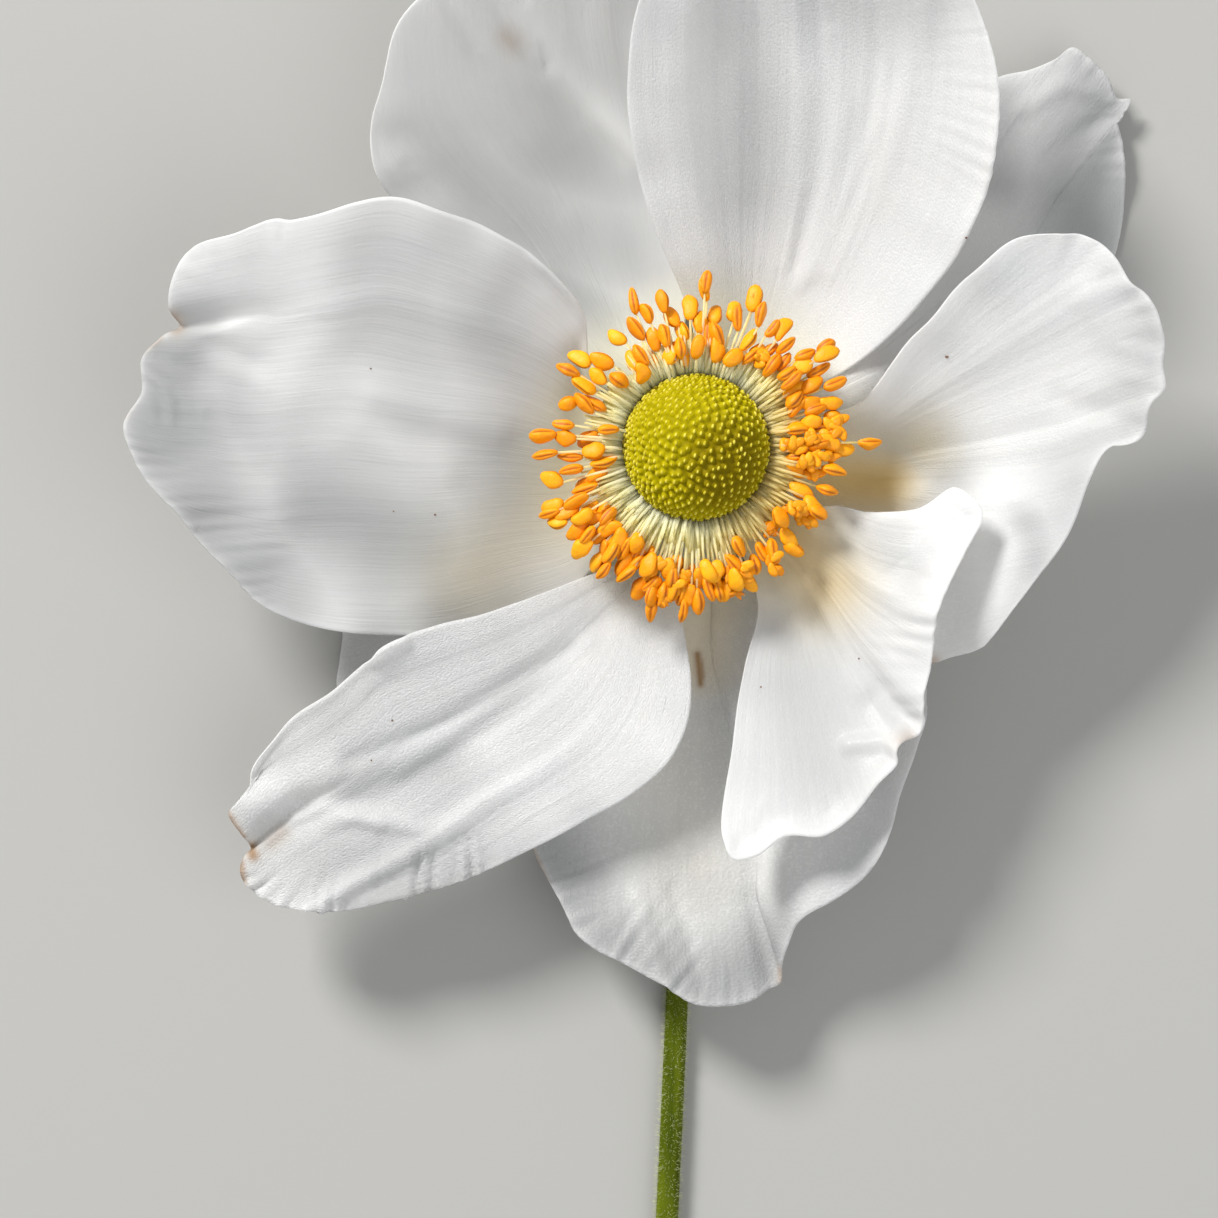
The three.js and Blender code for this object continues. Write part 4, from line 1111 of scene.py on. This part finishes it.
def tepal_blade(name, number):
    """One tepal, and the points of its upper side."""
    grid, share, way = tepal_middle(TEPALS[name])
    lift, distance = surface_lift(name, number, grid, share, way)
    grid = grid + normals_of(grid) * lift[..., None]
    grid[..., 2] = np.maximum(grid[..., 2], LOWEST_MIDDLE)
    near_claw = 1 - smooth_step(way, 0, CLAW_SHARE)
    thickness = THICKNESS + (THICKNESS_AT_CLAW - THICKNESS) * near_claw
    thickness = thickness - (THICKNESS - THICKNESS_AT_MARGIN) * np.exp(-distance / THIN_MARGIN)
    half = normals_of(grid) * (thickness / 2)[..., None]
    points = np.concatenate([(grid + half).reshape(-1, 3), (grid - half).reshape(-1, 3)])
    points[:, 2] = np.maximum(points[:, 2], LOWEST_FACE)
    piece = mesh_object("blade_" + name, points, blade_faces(*grid.shape[:2]))
    keep_looks(piece, name, number, grid, share, distance, way)
    return piece, grid + half


def specks(tops):
    """Low grains lying on the tepals."""
    heap = Heap()
    for name, place, radius in SPECKS:
        top = tops[name].reshape(-1, 3)
        seat = top[np.linalg.norm(top[:, :2] - place, axis=1).argmin()]
        centres = [seat - [0, 0, SPECK_HALF_HEIGHT], seat + [0, 0, SPECK_HALF_HEIGHT]]
        points = rings(centres, [radius, radius * SPECK_TAPER], (1, 0, 0), (0, 1, 0), SPECK_SIDES)
        heap.add(points, capped(2, SPECK_SIDES))
    return heap.piece("specks", smooth=False)


# Carpel head

def head_surface(directions, relief):
    """The head's surface in each direction: a dome above, a narrower flat-ended neck below."""
    polar = np.arccos(np.clip(directions[:, 2], -1, 1))
    narrowing = NECK_NARROWING * smooth_step(polar, *NECK_ANGLES)
    relief = relief * (1 - smooth_step(polar, *CARPELS_END))
    width = (HEAD_RADIUS + relief) * (1 - narrowing)
    height = HEAD_CENTRE + (HEAD_HALF_HEIGHT + relief) * directions[:, 2]
    points = directions * width[:, None]
    points[:, 2] = np.maximum(height, HEAD_BASE)
    return points


def carpel_directions(random):
    """Directions in crossing spirals all over a sphere, wider apart on its riper side."""
    number = np.arange(CARPELS)
    z = 1 - 2 * (number + 0.5) / CARPELS
    around = number * math.pi * (3 - math.sqrt(5))
    across = np.sqrt(1 - z * z)
    directions = np.stack([across * np.cos(around), across * np.sin(around), z], 1)
    scatter = random.normal(0, CARPEL_JITTER, directions.shape)
    return unit(directions + scatter - RIPE_SPREAD * RIPE_AND_SHADED_SIDE)


def round_ball():
    """The directions and faces of a fine ball."""
    ball = bmesh.new()
    bmesh.ops.create_icosphere(ball, subdivisions=HEAD_FINENESS, radius=1)
    ball.verts.ensure_lookup_table()
    directions = unit(np.array([vertex.co[:] for vertex in ball.verts]))
    faces = [[vertex.index for vertex in face.verts] for face in ball.faces]
    ball.free()
    return directions, faces


def carpel_head():
    """The head of carpels, and the direction in which each one of them stands."""
    seats = carpel_directions(np.random.default_rng(CARPEL_SEED))
    tree = kdtree.KDTree(len(seats))
    for i, seat in enumerate(seats):
        tree.insert(Vector(seat), i)
    tree.balance()
    directions, faces = round_ball()
    away = np.array([tree.find(Vector(direction))[2] for direction in directions])
    ripeness_and_shade = directions @ RIPE_AND_SHADED_SIDE
    spacing = math.sqrt(4 * math.pi / CARPELS) / 2 * (1 + RIPE_SPREAD * ripeness_and_shade)
    rise = np.clip(1 - (away / (CARPEL_OVERLAP * spacing)) ** 2, 0, 1)
    points = head_surface(directions, CARPEL_RELIEF * (2 * rise - 1))
    piece = mesh_object("carpels", points, faces)
    keep_numbers(piece, "rise", rise)
    # Painted shade on the side of the head away from the key lamp.
    keep_numbers(piece, "painted_head_shade", smooth_step(ripeness_and_shade, *HEAD_SHADE_EDGE))
    return piece, seats


def stigmas(seats):
    """A small pale tip on each carpel, leaning a little towards the top of the head."""
    random = np.random.default_rng(STIGMA_SEED)
    heap = Heap()
    radii, heights = np.array(STIGMA_PROFILE).T
    width, depth = STIGMA_WIDTHS
    shown = seats[seats[:, 2] > LOWEST_STIGMA]
    for seat, foot in zip(shown, head_surface(shown, CARPEL_RELIEF)):
        outwards = unit(seat + STIGMA_LEAN + random.normal(0, STIGMA_SCATTER, 3))
        side = unit(np.cross(outwards, STIGMA_ASIDE))
        front = np.cross(outwards, side)
        size = random.uniform(*STIGMA_SIZES)
        centres = foot + size * np.outer(heights, outwards)
        points = rings(centres[:-1], size * radii[:-1], width * side, depth * front, STIGMA_SIDES)
        heap.add(np.vstack([points, centres[-1]]), pointed(len(radii) - 1, STIGMA_SIDES))
    return heap.piece("stigmas")


# Stamens

def anther_shape():
    """One anther, 1 long from z = 0: two lobes side by side, with a slit down each narrow side."""
    levels = ANTHER_LEVELS + 1
    share = np.repeat(np.linspace(0, 1, levels), ANTHER_SIDES)
    turn = np.tile(2 * math.pi * np.arange(ANTHER_SIDES) / ANTHER_SIDES, levels)
    girth = np.sin(math.pi * np.clip(share, ANTHER_END, 1 - ANTHER_END)) ** ANTHER_ROUNDING
    full = smooth_step(girth, *SLITS_RISE)
    slit = bell(np.sin(turn), SLIT[0]) * full
    seam = bell(np.cos(turn), SEAM[0]) * full
    reach = 0.5 * girth * (1 - SLIT[1] * slit - SEAM[1] * seam)
    points = np.stack([reach * np.cos(turn), reach * np.sin(turn), share], 1)
    return points, capped(levels, ANTHER_SIDES), slit


def uneven(body, random):
    """The same anther, bowed a little and with swellings of its own."""
    share = body[:, 2:]
    bow = np.sin(math.pi * share) * random.normal(0, BOW, 2)
    pace = random.uniform(*SWELLING_PACES)
    swelling = 1 + SWELLING * np.sin(2 * math.pi * (pace * share + random.uniform(0, 1)))
    return np.concatenate([body[:, :2] * swelling + bow, share], 1)


def set_at(body, foot, side, front, ahead):
    """A body's points, moved to a foot and turned to three directions."""
    return foot + body[:, :1] * side + body[:, 1:2] * front + body[:, 2:] * ahead


def lobes_at(heap, shape, random, foot, ahead, kind):
    """What a burst or a shrivelled anther leaves: lobes that point all ways."""
    body, faces, depths = shape
    count, size, scatter, darkness = LOBES[kind]
    for _ in range(count):
        way = unit(ahead * LOBE_AHEAD + random.normal(0, 1, 3) * LOBE_WAYS)
        side = unit(np.cross(way, [0, 0, 1]))
        lobe = uneven(body, random) * size - [0, 0, size[2] / 2]
        offset = ahead * random.uniform(*LOBE_PLACES) + random.uniform(*LOBE_OFFSETS, 3)
        tone = random.uniform(*LOBE_TONES) * (1 - darkness)
        placed = set_at(lobe, foot + scatter * offset, side, np.cross(way, side), way)
        heap.add(placed, faces, slit=depths * LOBE_SLIT + LOBE_SHADE * darkness, tone=tone)


def anther_at(heap, shape, random, foot, ahead, kind):
    """One anther: plump side up, on edge with its slit up, a burst clump, or a shrivelled star."""
    if kind in LOBES:
        lobes_at(heap, shape, random, foot, ahead, kind)
        return
    body, faces, depths = shape
    on_edge = kind == "slit"
    tone = random.uniform(0, SLIT_TONE if on_edge else 1)
    level = unit(np.cross(ahead, [0, 0, 1]) + random.normal(0, TILT, 3))
    roll = random.normal(math.pi / 2 if on_edge else 0, ROLL)
    side = level * math.cos(roll) + np.cross(ahead, level) * math.sin(roll)
    size = random.uniform(*ANTHER_SIZES, 3) * [ANTHER_WIDTH, ANTHER_DEPTH, ANTHER_LENGTH]
    placed = set_at(uneven(body, random) * size, foot, side, np.cross(ahead, side), ahead)
    heap.add(placed, faces, slit=depths, tone=tone)


def round_axis(angle, radius, height):
    return np.array([radius * math.cos(angle), radius * math.sin(angle), height])


def arched(root, bend, end):
    """From the root to the end, setting out towards the bend and arriving from it."""
    t = np.linspace(0, 1, FILAMENT_RINGS)[:, None]
    return (1 - t) ** 2 * root + 2 * t * (1 - t) * bend + t**2 * end


def golden(points):
    """How much painted golden shade the filaments get: most on the side of the ring that the head shades
    from the key lamp.
    """
    angle = np.arctan2(points[:, 1], points[:, 0])
    return smooth_step(np.cos(angle - GOLD_SHADE_SIDE), *GOLD_SHADE_EDGE)


def sector_stamens(random, start, end, near, far, count, slit_share, clump_share):
    """The stamens of one sector: the angle, how far out the anther begins, and its kind."""
    found = []
    draws = random.permutation(count) / count
    for i in range(count):
        angle = start + (i + random.uniform(0, 1)) * (end - start) / count
        radius = near + (far - near) * ((i * STEP_ACROSS + random.uniform(0, STEP_DIFFERENCE)) % 1)
        kind = "plump"
        if draws[i] < slit_share:
            kind = "slit"
        elif draws[i] > 1 - clump_share:
            kind = "clump"
        found.append((angle, radius, kind))
    return found


def filament_path(random, angle, radius, kind):
    """The middle line of a filament from the collar to its anther, or to its end if it is bare."""
    difference = random.uniform(-HEIGHT_DIFFERENCE, HEIGHT_DIFFERENCE)
    height = ANTHER_HEIGHT - FALL * (radius - AT_RADIUS) + difference
    arch = ARCH
    if kind is None:
        height -= random.uniform(*BARE_DROPS)
        arch = BARE_ARCH
    root = round_axis(angle + random.uniform(-ROOT_TURN, ROOT_TURN), ROOT_RADIUS, ROOT_HEIGHT)
    bend = round_axis(angle, random.uniform(*BEND_RADII), height + arch)
    return arched(root, bend, round_axis(angle, radius, height))


def filament_tube(path):
    ahead = unit(np.gradient(path, axis=0))
    side = unit(np.cross(ahead, FILAMENT_ASIDE))
    way = np.linspace(0, 1, len(path))
    radii = FILAMENT_RADIUS * np.interp(way, *np.array(FILAMENT_TAPER).T)
    points, faces = tube(path, radii, ahead, side, FILAMENT_SIDES)
    return points, faces, np.repeat(way, FILAMENT_SIDES)


def stamens():
    random = np.random.default_rng(STAMEN_SEED)
    shape = anther_shape()
    threads = Heap()
    heads = Heap()
    wanted = []
    for sector in STAMEN_SECTORS:
        wanted += sector_stamens(random, *sector)
    wanted += LONE_STAMENS
    for i in range(BARE_FILAMENTS):
        wanted.append((360 * (i * STEP_ROUND % 1), random.uniform(*BARE_RADII), None))
    for angle, radius, kind in wanted:
        path = filament_path(random, math.radians(angle), radius, kind)
        points, faces, way = filament_tube(path)
        # Each point keeps how much painted golden shade it gets.
        threads.add(points, faces, way=way, golden=golden(points))
        if kind:
            ahead = unit(path[-1] - path[-2])
            ahead = unit(ahead + random.normal(0, 1, 3) * LEAN - NOD)
            anther_at(heads, shape, random, path[-1] - ANTHER_SEAT * ahead, ahead, kind)
    return threads.piece("filaments"), heads.piece("anthers")


def filament_mass():
    """The lower filaments, packed side by side into one ribbed skirt under the others."""
    random = np.random.default_rng(MASS_SEED)
    around = MASS_RIBS * len(MASS_RIB)
    turns = 2 * math.pi * np.arange(around) / around
    ends = np.repeat(random.uniform(*MASS_ENDS, MASS_RIBS), len(MASS_RIB))
    crowns = FILAMENT_RADIUS * np.tile(MASS_RIB, MASS_RIBS)
    radius = arched(ROOT_RADIUS, MASS_BEND[0], ends)
    height = arched(ROOT_HEIGHT, MASS_BEND[1], MASS_END_HEIGHT) + crowns
    upper = np.stack([radius * np.cos(turns), radius * np.sin(turns), height], -1)
    points = np.concatenate([upper, upper[::-1] - [0, 0, MASS_DEPTH]])
    way = np.linspace(0, 1, FILAMENT_RINGS)
    faces = turned_over(ring_faces(len(points), around, closed=True))
    points = points.reshape(-1, 3)
    piece = mesh_object("filament_mass", points, faces)
    keep_numbers(piece, "way", np.repeat(np.concatenate([way, way[::-1]]), around))
    # Painted golden shade, by side of the ring.
    keep_numbers(piece, "golden", golden(points))
    return piece


def stamen_collar():
    profile = (
        (COLLAR_INNER_RADIUS, COLLAR_BASE),
        (COLLAR_OUTER_RADIUS, COLLAR_BASE),
        (COLLAR_OUTER_RADIUS, COLLAR_TOP - COLLAR_BEVEL),
        (COLLAR_OUTER_RADIUS - COLLAR_BEVEL, COLLAR_TOP),
        (COLLAR_INNER_RADIUS, COLLAR_TOP),
    )
    collar = turned("stamen_collar", profile, COLLAR_SIDES)
    for name in ("way", "golden"):
        keep_numbers(collar, name, np.zeros(len(collar.data.vertices)))
    return collar


# Stem

def stem_path():
    """The stem's middle line, from its cut end along the surface and up to the flower."""
    bend_start = (0, -STEM_BEND_RADIUS, STEM_HEIGHT)
    lying, _ = smooth_curve([STEM_END, STEM_MIDDLE, bend_start], STEM_STEP)
    turns = np.arange(1, STEM_BEND_STEPS + 1) / STEM_BEND_STEPS * math.pi / 2
    along = -STEM_BEND_RADIUS * (1 - np.sin(turns))
    height = STEM_HEIGHT + STEM_BEND_RADIUS * (1 - np.cos(turns))
    return np.vstack([lying, np.stack([0 * turns, along, height], 1)])


def stem_directions(path):
    """The way ahead and the way to the side at each point of the stem."""
    ahead = unit(np.gradient(path, axis=0))
    return ahead, unit(np.cross(ahead, [0, 0, 1]) + STEM_ASIDE)


def stem_skin(path):
    random = np.random.default_rng(STEM_SEED)
    ahead, side = stem_directions(path)
    turns = 2 * math.pi * np.arange(STEM_SIDES) / STEM_SIDES
    ribs = 1 + STEM_RIB_DEPTH * np.cos(STEM_RIBS * turns)[None, :]
    ribs = ribs + random.normal(0, STEM_ROUGHNESS, (len(path), STEM_SIDES))
    points, faces = tube(path, STEM_RADIUS * ribs, ahead, side, STEM_SIDES)
    return mesh_object("stem_skin", points, faces)


def hair(foot, ahead, length):
    """A tapered hair of three sides that bends a little."""
    middle = foot + ahead * length * HAIR_BEND[0] + HAIR_DROOP * HAIR_BEND[1]
    tip = foot + ahead * length + HAIR_DROOP
    side = unit(np.cross(ahead, HAIR_ASIDE))
    radii = (HAIR_RADIUS, HAIR_RADIUS * HAIR_TAPER)
    points = rings([foot, middle], radii, side, np.cross(ahead, side), 3)
    return np.vstack([points, tip]), pointed(2, 3)


def stem_hairs(path):
    random = np.random.default_rng(HAIR_SEED)
    ahead, sides = stem_directions(path)
    ups = np.cross(sides, ahead)
    heap = Heap()
    for _ in range(STEM_HAIRS):
        place = random.uniform(0, len(path) - HAIRLESS_POINTS)
        i = int(place)
        centre = path[i] + (path[i + 1] - path[i]) * (place - i)
        turn = random.uniform(0, 2 * math.pi)
        out = sides[i] * math.cos(turn) + ups[i] * math.sin(turn)
        foot = centre + out * (STEM_RADIUS - HAIR_SINK)
        lean = out + ahead[i] * random.uniform(-HAIR_LEAN, HAIR_LEAN)
        lean = unit(lean + random.normal(0, HAIR_SCATTER, 3))
        length = random.uniform(*HAIR_LENGTHS)
        if foot[2] + lean[2] * length >= LOWEST_HAIR_TIP:
            heap.add(*hair(foot, lean, length))
    return heap.piece("stem_hairs")


# Materials

class Look:
    """A material in the making: its shader, and the nodes that give it colour and relief."""

    # The colour sockets among the inputs and outputs of a Mix node.
    MIX_FIRST = 6
    MIX_SECOND = 7
    MIX_RESULT = 2

    def __init__(self, name, roughness, specular, subsurface=0.0, radius=0.0):
        self.material = bpy.data.materials.new(name)
        self.material.use_nodes = True
        self.nodes = self.material.node_tree.nodes
        self.links = self.material.node_tree.links
        self.shader = self.nodes["Principled BSDF"]
        self.feed(self.shader, {"Roughness": roughness, "Specular IOR Level": specular})
        if subsurface:
            self.feed(self.shader, {
                "Subsurface Weight": subsurface,
                "Subsurface Radius": SPREAD_OF_LIGHT,
                "Subsurface Scale": radius * MM,
            })

    def feed(self, node, inputs):
        """Links an input to the socket given for it, or sets it to the plain value."""
        for name, value in inputs.items():
            if isinstance(value, bpy.types.NodeSocket):
                self.links.new(value, node.inputs[name])
            else:
                node.inputs[name].default_value = value
        return node

    def new(self, kind, inputs):
        return self.feed(self.nodes.new(kind), inputs)

    def kept(self, name, output="Fac"):
        """The numbers that the mesh keeps under this name."""
        node = self.nodes.new("ShaderNodeAttribute")
        node.attribute_name = name
        return node.outputs[output]

    def place(self):
        return self.nodes.new("ShaderNodeTexCoord").outputs["Object"]

    def ramp(self, factor, *stops):
        node = self.new("ShaderNodeValToRGB", {"Fac": factor})
        elements = node.color_ramp.elements
        while len(elements) < len(stops):
            elements.new(0.5)
        for element, (place, colour) in zip(elements, stops):
            element.position = place
            element.color = (*colour, 1)
        return node.outputs["Color"]

    def two_tone(self, noise, colours):
        dark, light = colours
        return self.ramp(noise, (NOISE_LOW, dark), (NOISE_HIGH, light))

    def mixed(self, factor, first, second):
        """A colour that goes from the first one to the second, which may be plain."""
        if isinstance(second, tuple):
            second = (*second, 1)
        node = self.nodes.new("ShaderNodeMix")
        node.data_type = "RGBA"
        self.feed(node, {"Factor": factor, self.MIX_FIRST: first, self.MIX_SECOND: second})
        return node.outputs[self.MIX_RESULT]

    def noise(self, vector, scale, detail, stretch=(1, 1, 1)):
        mapping = self.new("ShaderNodeMapping", {"Scale": stretch, "Vector": vector})
        stretched = mapping.outputs["Vector"]
        inputs = {"Scale": scale, "Detail": detail, "Vector": stretched}
        return self.new("ShaderNodeTexNoise", inputs).outputs["Fac"]

    def grains(self, vector, scale):
        """Rounded grains side by side: 0 in the middle of each."""
        node = self.nodes.new("ShaderNodeTexVoronoi")
        node.voronoi_dimensions = "2D"
        return self.feed(node, {"Scale": scale, "Vector": vector}).outputs["Distance"]

    def times(self, first, second):
        node = self.new("ShaderNodeMath", {0: first, 1: second})
        node.operation = "MULTIPLY"
        return node.outputs["Value"]

    def glints(self, vector):
        """Painted highlights: small bright places, 1 where a cell of the skin catches the light and 0
        between them.
        """
        value = self.noise(vector, GLINT_SCALE, 0)
        inputs = {"From Min": GLINT_FROM, "From Max": GLINT_FULL, "Value": value}
        return self.new("ShaderNodeMapRange", inputs).outputs["Result"]

    def spread(self, value, low, high):
        inputs = {"To Min": low, "To Max": high, "Value": value}
        return self.new("ShaderNodeMapRange", inputs).outputs["Result"]

    def bump(self, height, distance, strength, below=None):
        inputs = {"Distance": distance * MM, "Strength": strength, "Height": height}
        if below:
            inputs["Normal"] = below
        return self.new("ShaderNodeBump", inputs).outputs["Normal"]

    def cover(self, colour, relief=None):
        self.feed(self.shader, {"Base Color": colour})
        if relief:
            self.feed(self.shader, {"Normal": relief})

    def let_through(self, share, colour, relief=None):
        """Lets a share of the light that falls on the other side shine through."""
        through = self.new("ShaderNodeBsdfTranslucent", {"Color": colour})
        if relief:
            self.feed(through, {"Normal": relief})
        both = {0: share, 1: self.shader.outputs["BSDF"], 2: through.outputs["BSDF"]}
        mixed = self.new("ShaderNodeMixShader", both).outputs["Shader"]
        self.feed(self.nodes["Material Output"], {"Surface": mixed})


def tepal_material():
    look = Look("tepal_white", roughness=0.45, specular=0.4)
    grain = look.kept("grain", "Vector")
    veins = look.noise(grain, scale=1.0, detail=3, stretch=(2.2, 0.08, 1))
    fine_veins = look.noise(grain, scale=1.0, detail=2, stretch=(7, 0.3, 1))
    patches = look.noise(grain, scale=0.16, detail=2, stretch=(1, 0.7, 1))
    cells = look.grains(grain, scale=5.4)
    frost = look.kept("frost")
    white = look.two_tone(veins, VEIN_COLOURS)
    white = look.mixed(fine_veins, white, look.two_tone(patches, PATCH_COLOURS))
    # Painted highlights: white glints where cells of the skin catch the light.
    white = look.mixed(look.times(look.glints(grain), frost), white, GLINT_WHITE)
    # Painted shade: greyer where the tepals lie in shade.
    white = look.mixed(look.kept("painted_shade"), white, PAINTED_SHADE_GREY)
    white = look.mixed(look.spread(look.kept("claw"), low=0, high=0.7), white, CLAW_CREAM)
    # Painted warm shade, yellowish near the stamens.
    white = look.mixed(look.kept("painted_warm_shade"), white, PAINTED_SHADE_GOLD)
    # Painted light along the margins and at the pale places.
    white = look.mixed(look.spread(look.kept("edge"), low=0, high=0.5), white, PAINTED_LIGHT_WHITE)
    colour = look.mixed(look.kept("stain"), white, STAIN_BROWN)
    relief = look.bump(veins, distance=0.1, strength=0.3)
    relief = look.bump(fine_veins, distance=0.04, strength=0.5, below=relief)
    relief = look.bump(look.times(cells, frost), distance=-0.05, strength=1.0, below=relief)
    look.cover(colour, relief)
    look.feed(look.shader, {"Roughness": look.spread(cells, low=0.3, high=0.65)})
    look.let_through(THROUGH_TEPAL, colour, relief)
    return look.material


def mottled_material(name):
    *surface, scale, dark, light = MOTTLED[name]
    look = Look(name, *surface)
    look.cover(look.two_tone(look.noise(look.place(), scale, detail=1), (dark, light)))
    return look.material


def carpel_material():
    look = Look("carpel_green", roughness=0.6, specular=0.06, subsurface=0.2, radius=0.3)
    place = look.place()
    patches = look.noise(place, scale=260, detail=2)
    # Painted shade: darker in the gaps between the carpels, lighter on their tops.
    stops = ((0.0, CARPEL_GAP), (0.5, CARPEL_SIDE), (1.0, CARPEL_TOP))
    green = look.ramp(look.kept("rise"), *stops)
    green = look.mixed(look.spread(patches, low=0, high=0.4), green, CARPEL_PATCH)
    # Painted shade, darkest on the side of the head away from the key lamp.
    painted_head_shade = look.spread(look.kept("painted_head_shade"), low=0, high=0.75)
    relief = look.bump(look.noise(place, scale=9000, detail=1), distance=0.02, strength=0.4)
    look.cover(look.mixed(painted_head_shade, green, CARPEL_SHADE), relief)
    return look.material


def anther_material():
    look = Look("anther_orange", roughness=0.5, specular=0.3, subsurface=0.2, radius=0.3)
    place = look.place()
    powder = look.noise(place, scale=5000, detail=2)
    patches = look.noise(place, scale=1900, detail=2)
    stops = ((0.0, ANTHER_RUST), (0.45, ANTHER_ORANGE), (1.0, ANTHER_YELLOW))
    orange = look.ramp(look.kept("tone"), *stops)
    orange = look.mixed(look.spread(powder, low=0, high=0.4), orange, POWDER_YELLOW)
    orange = look.mixed(look.spread(patches, low=0, high=0.7), orange, PATCH_RUST)
    relief = look.bump(patches, distance=0.1, strength=0.6)
    relief = look.bump(powder, distance=0.04, strength=0.6, below=relief)
    look.cover(look.mixed(look.kept("slit"), orange, SLIT_BROWN), relief)
    return look.material


def filament_material():
    look = Look("filament_cream", roughness=0.4, specular=0.5)
    stops = ((0.0, FILAMENT_ROOT), (0.5, FILAMENT_MIDDLE), (1.0, FILAMENT_END))
    cream = look.ramp(look.kept("way"), *stops)
    # Painted golden shade on the side of the ring away from the key lamp.
    gold = look.spread(look.kept("golden"), low=0, high=0.6)
    colour = look.mixed(gold, cream, FILAMENT_SHADE_GOLD)
    look.cover(colour)
    look.let_through(THROUGH_FILAMENT, colour)
    return look.material


def stem_material():
    look = Look("stem_green", roughness=0.6, specular=0.08, subsurface=0.15, radius=0.4)
    streaks = look.noise(look.place(), scale=900, detail=3, stretch=(1, 0.12, 1))
    relief = look.bump(streaks, distance=0.08, strength=0.5)
    look.cover(look.two_tone(streaks, STEM_COLOURS), relief)
    return look.material


# Room

def floor():
    mesh = bpy.data.meshes.new("floor")
    near, far = -FLOOR_HALF_WIDTH, FLOOR_HALF_WIDTH
    corners = [(near, near, 0), (far, near, 0), (far, far, 0), (near, far, 0)]
    mesh.from_pydata(corners, [], [(0, 1, 2, 3)])
    plane = bpy.data.objects.new("floor", mesh)
    bpy.context.scene.collection.objects.link(plane)
    look = Look("floor_pale", roughness=0.9, specular=0.2)
    look.feed(look.shader, {"Base Color": FLOOR_COLOUR})
    mesh.materials.append(look.material)


def lamp(name, direction, size, power, colour):
    light = bpy.data.lights.new(name, "AREA")
    light.shape = "DISK"
    light.size = size
    light.energy = power
    light.color = colour
    lit = bpy.data.objects.new(name, light)
    towards = Vector(direction).normalized()
    lit.location = Vector((AXIS_X, AXIS_Y, 0)) + towards * LAMP_DISTANCE
    lit.rotation_euler = towards.to_track_quat("Z", "Y").to_euler()
    bpy.context.scene.collection.objects.link(lit)


def lights():
    for name, values in LAMPS.items():
        lamp(name, *values)
    world = bpy.data.worlds.new("room")
    world.use_nodes = True
    background = world.node_tree.nodes["Background"]
    background.inputs["Color"].default_value = ROOM_LIGHT
    background.inputs["Strength"].default_value = ROOM_STRENGTH
    bpy.context.scene.world = world
    bpy.context.scene.view_settings.view_transform = "Standard"


def camera():
    """Looks straight down from high above the head's level, a little off the flower's axis."""
    data = bpy.data.cameras.new("camera")
    data.sensor_width = SENSOR_WIDTH
    data.lens = SENSOR_WIDTH * VIEW_DISTANCE / VIEW_WIDTH
    data.clip_start = SEEN_FROM
    data.clip_end = SEEN_TO
    eye = bpy.data.objects.new("camera", data)
    eye.location = in_frame((*VIEW_CENTRE, VIEW_DISTANCE + VIEW_LEVEL))
    bpy.context.scene.collection.objects.link(eye)
    bpy.context.scene.camera = eye


def flower():
    white = tepal_material()
    tops = {}
    for number, name in enumerate(TEPALS):
        blade, tops[name] = tepal_blade(name, number)
        stand_for(blade, "tepal", white, "tepal_" + name)
    stand_for(specks(tops), "tepal", mottled_material("speck_brown"))
    head, seats = carpel_head()
    stand_for(head, "carpels", carpel_material(), "carpel_head")
    stand_for(stigmas(seats), "carpels", mottled_material("stigma_pale"))
    filaments, anthers = stamens()
    cream = filament_material()
    stand_for(anthers, "stamens", anther_material(), "stamens")
    for piece in (filaments, filament_mass(), stamen_collar()):
        stand_for(piece, "stamens", cream)
    path = stem_path()
    green = stem_material()
    stand_for(stem_skin(path), "stem", green, "stem")
    stand_for(turned("receptacle", RECEPTACLE_PROFILE, RECEPTACLE_SIDES), "stem", green)
    stand_for(stem_hairs(path), "stem", mottled_material("hair_pale"))


camera()
floor()
lights()
flower()

bpy.context.view_layer.update()
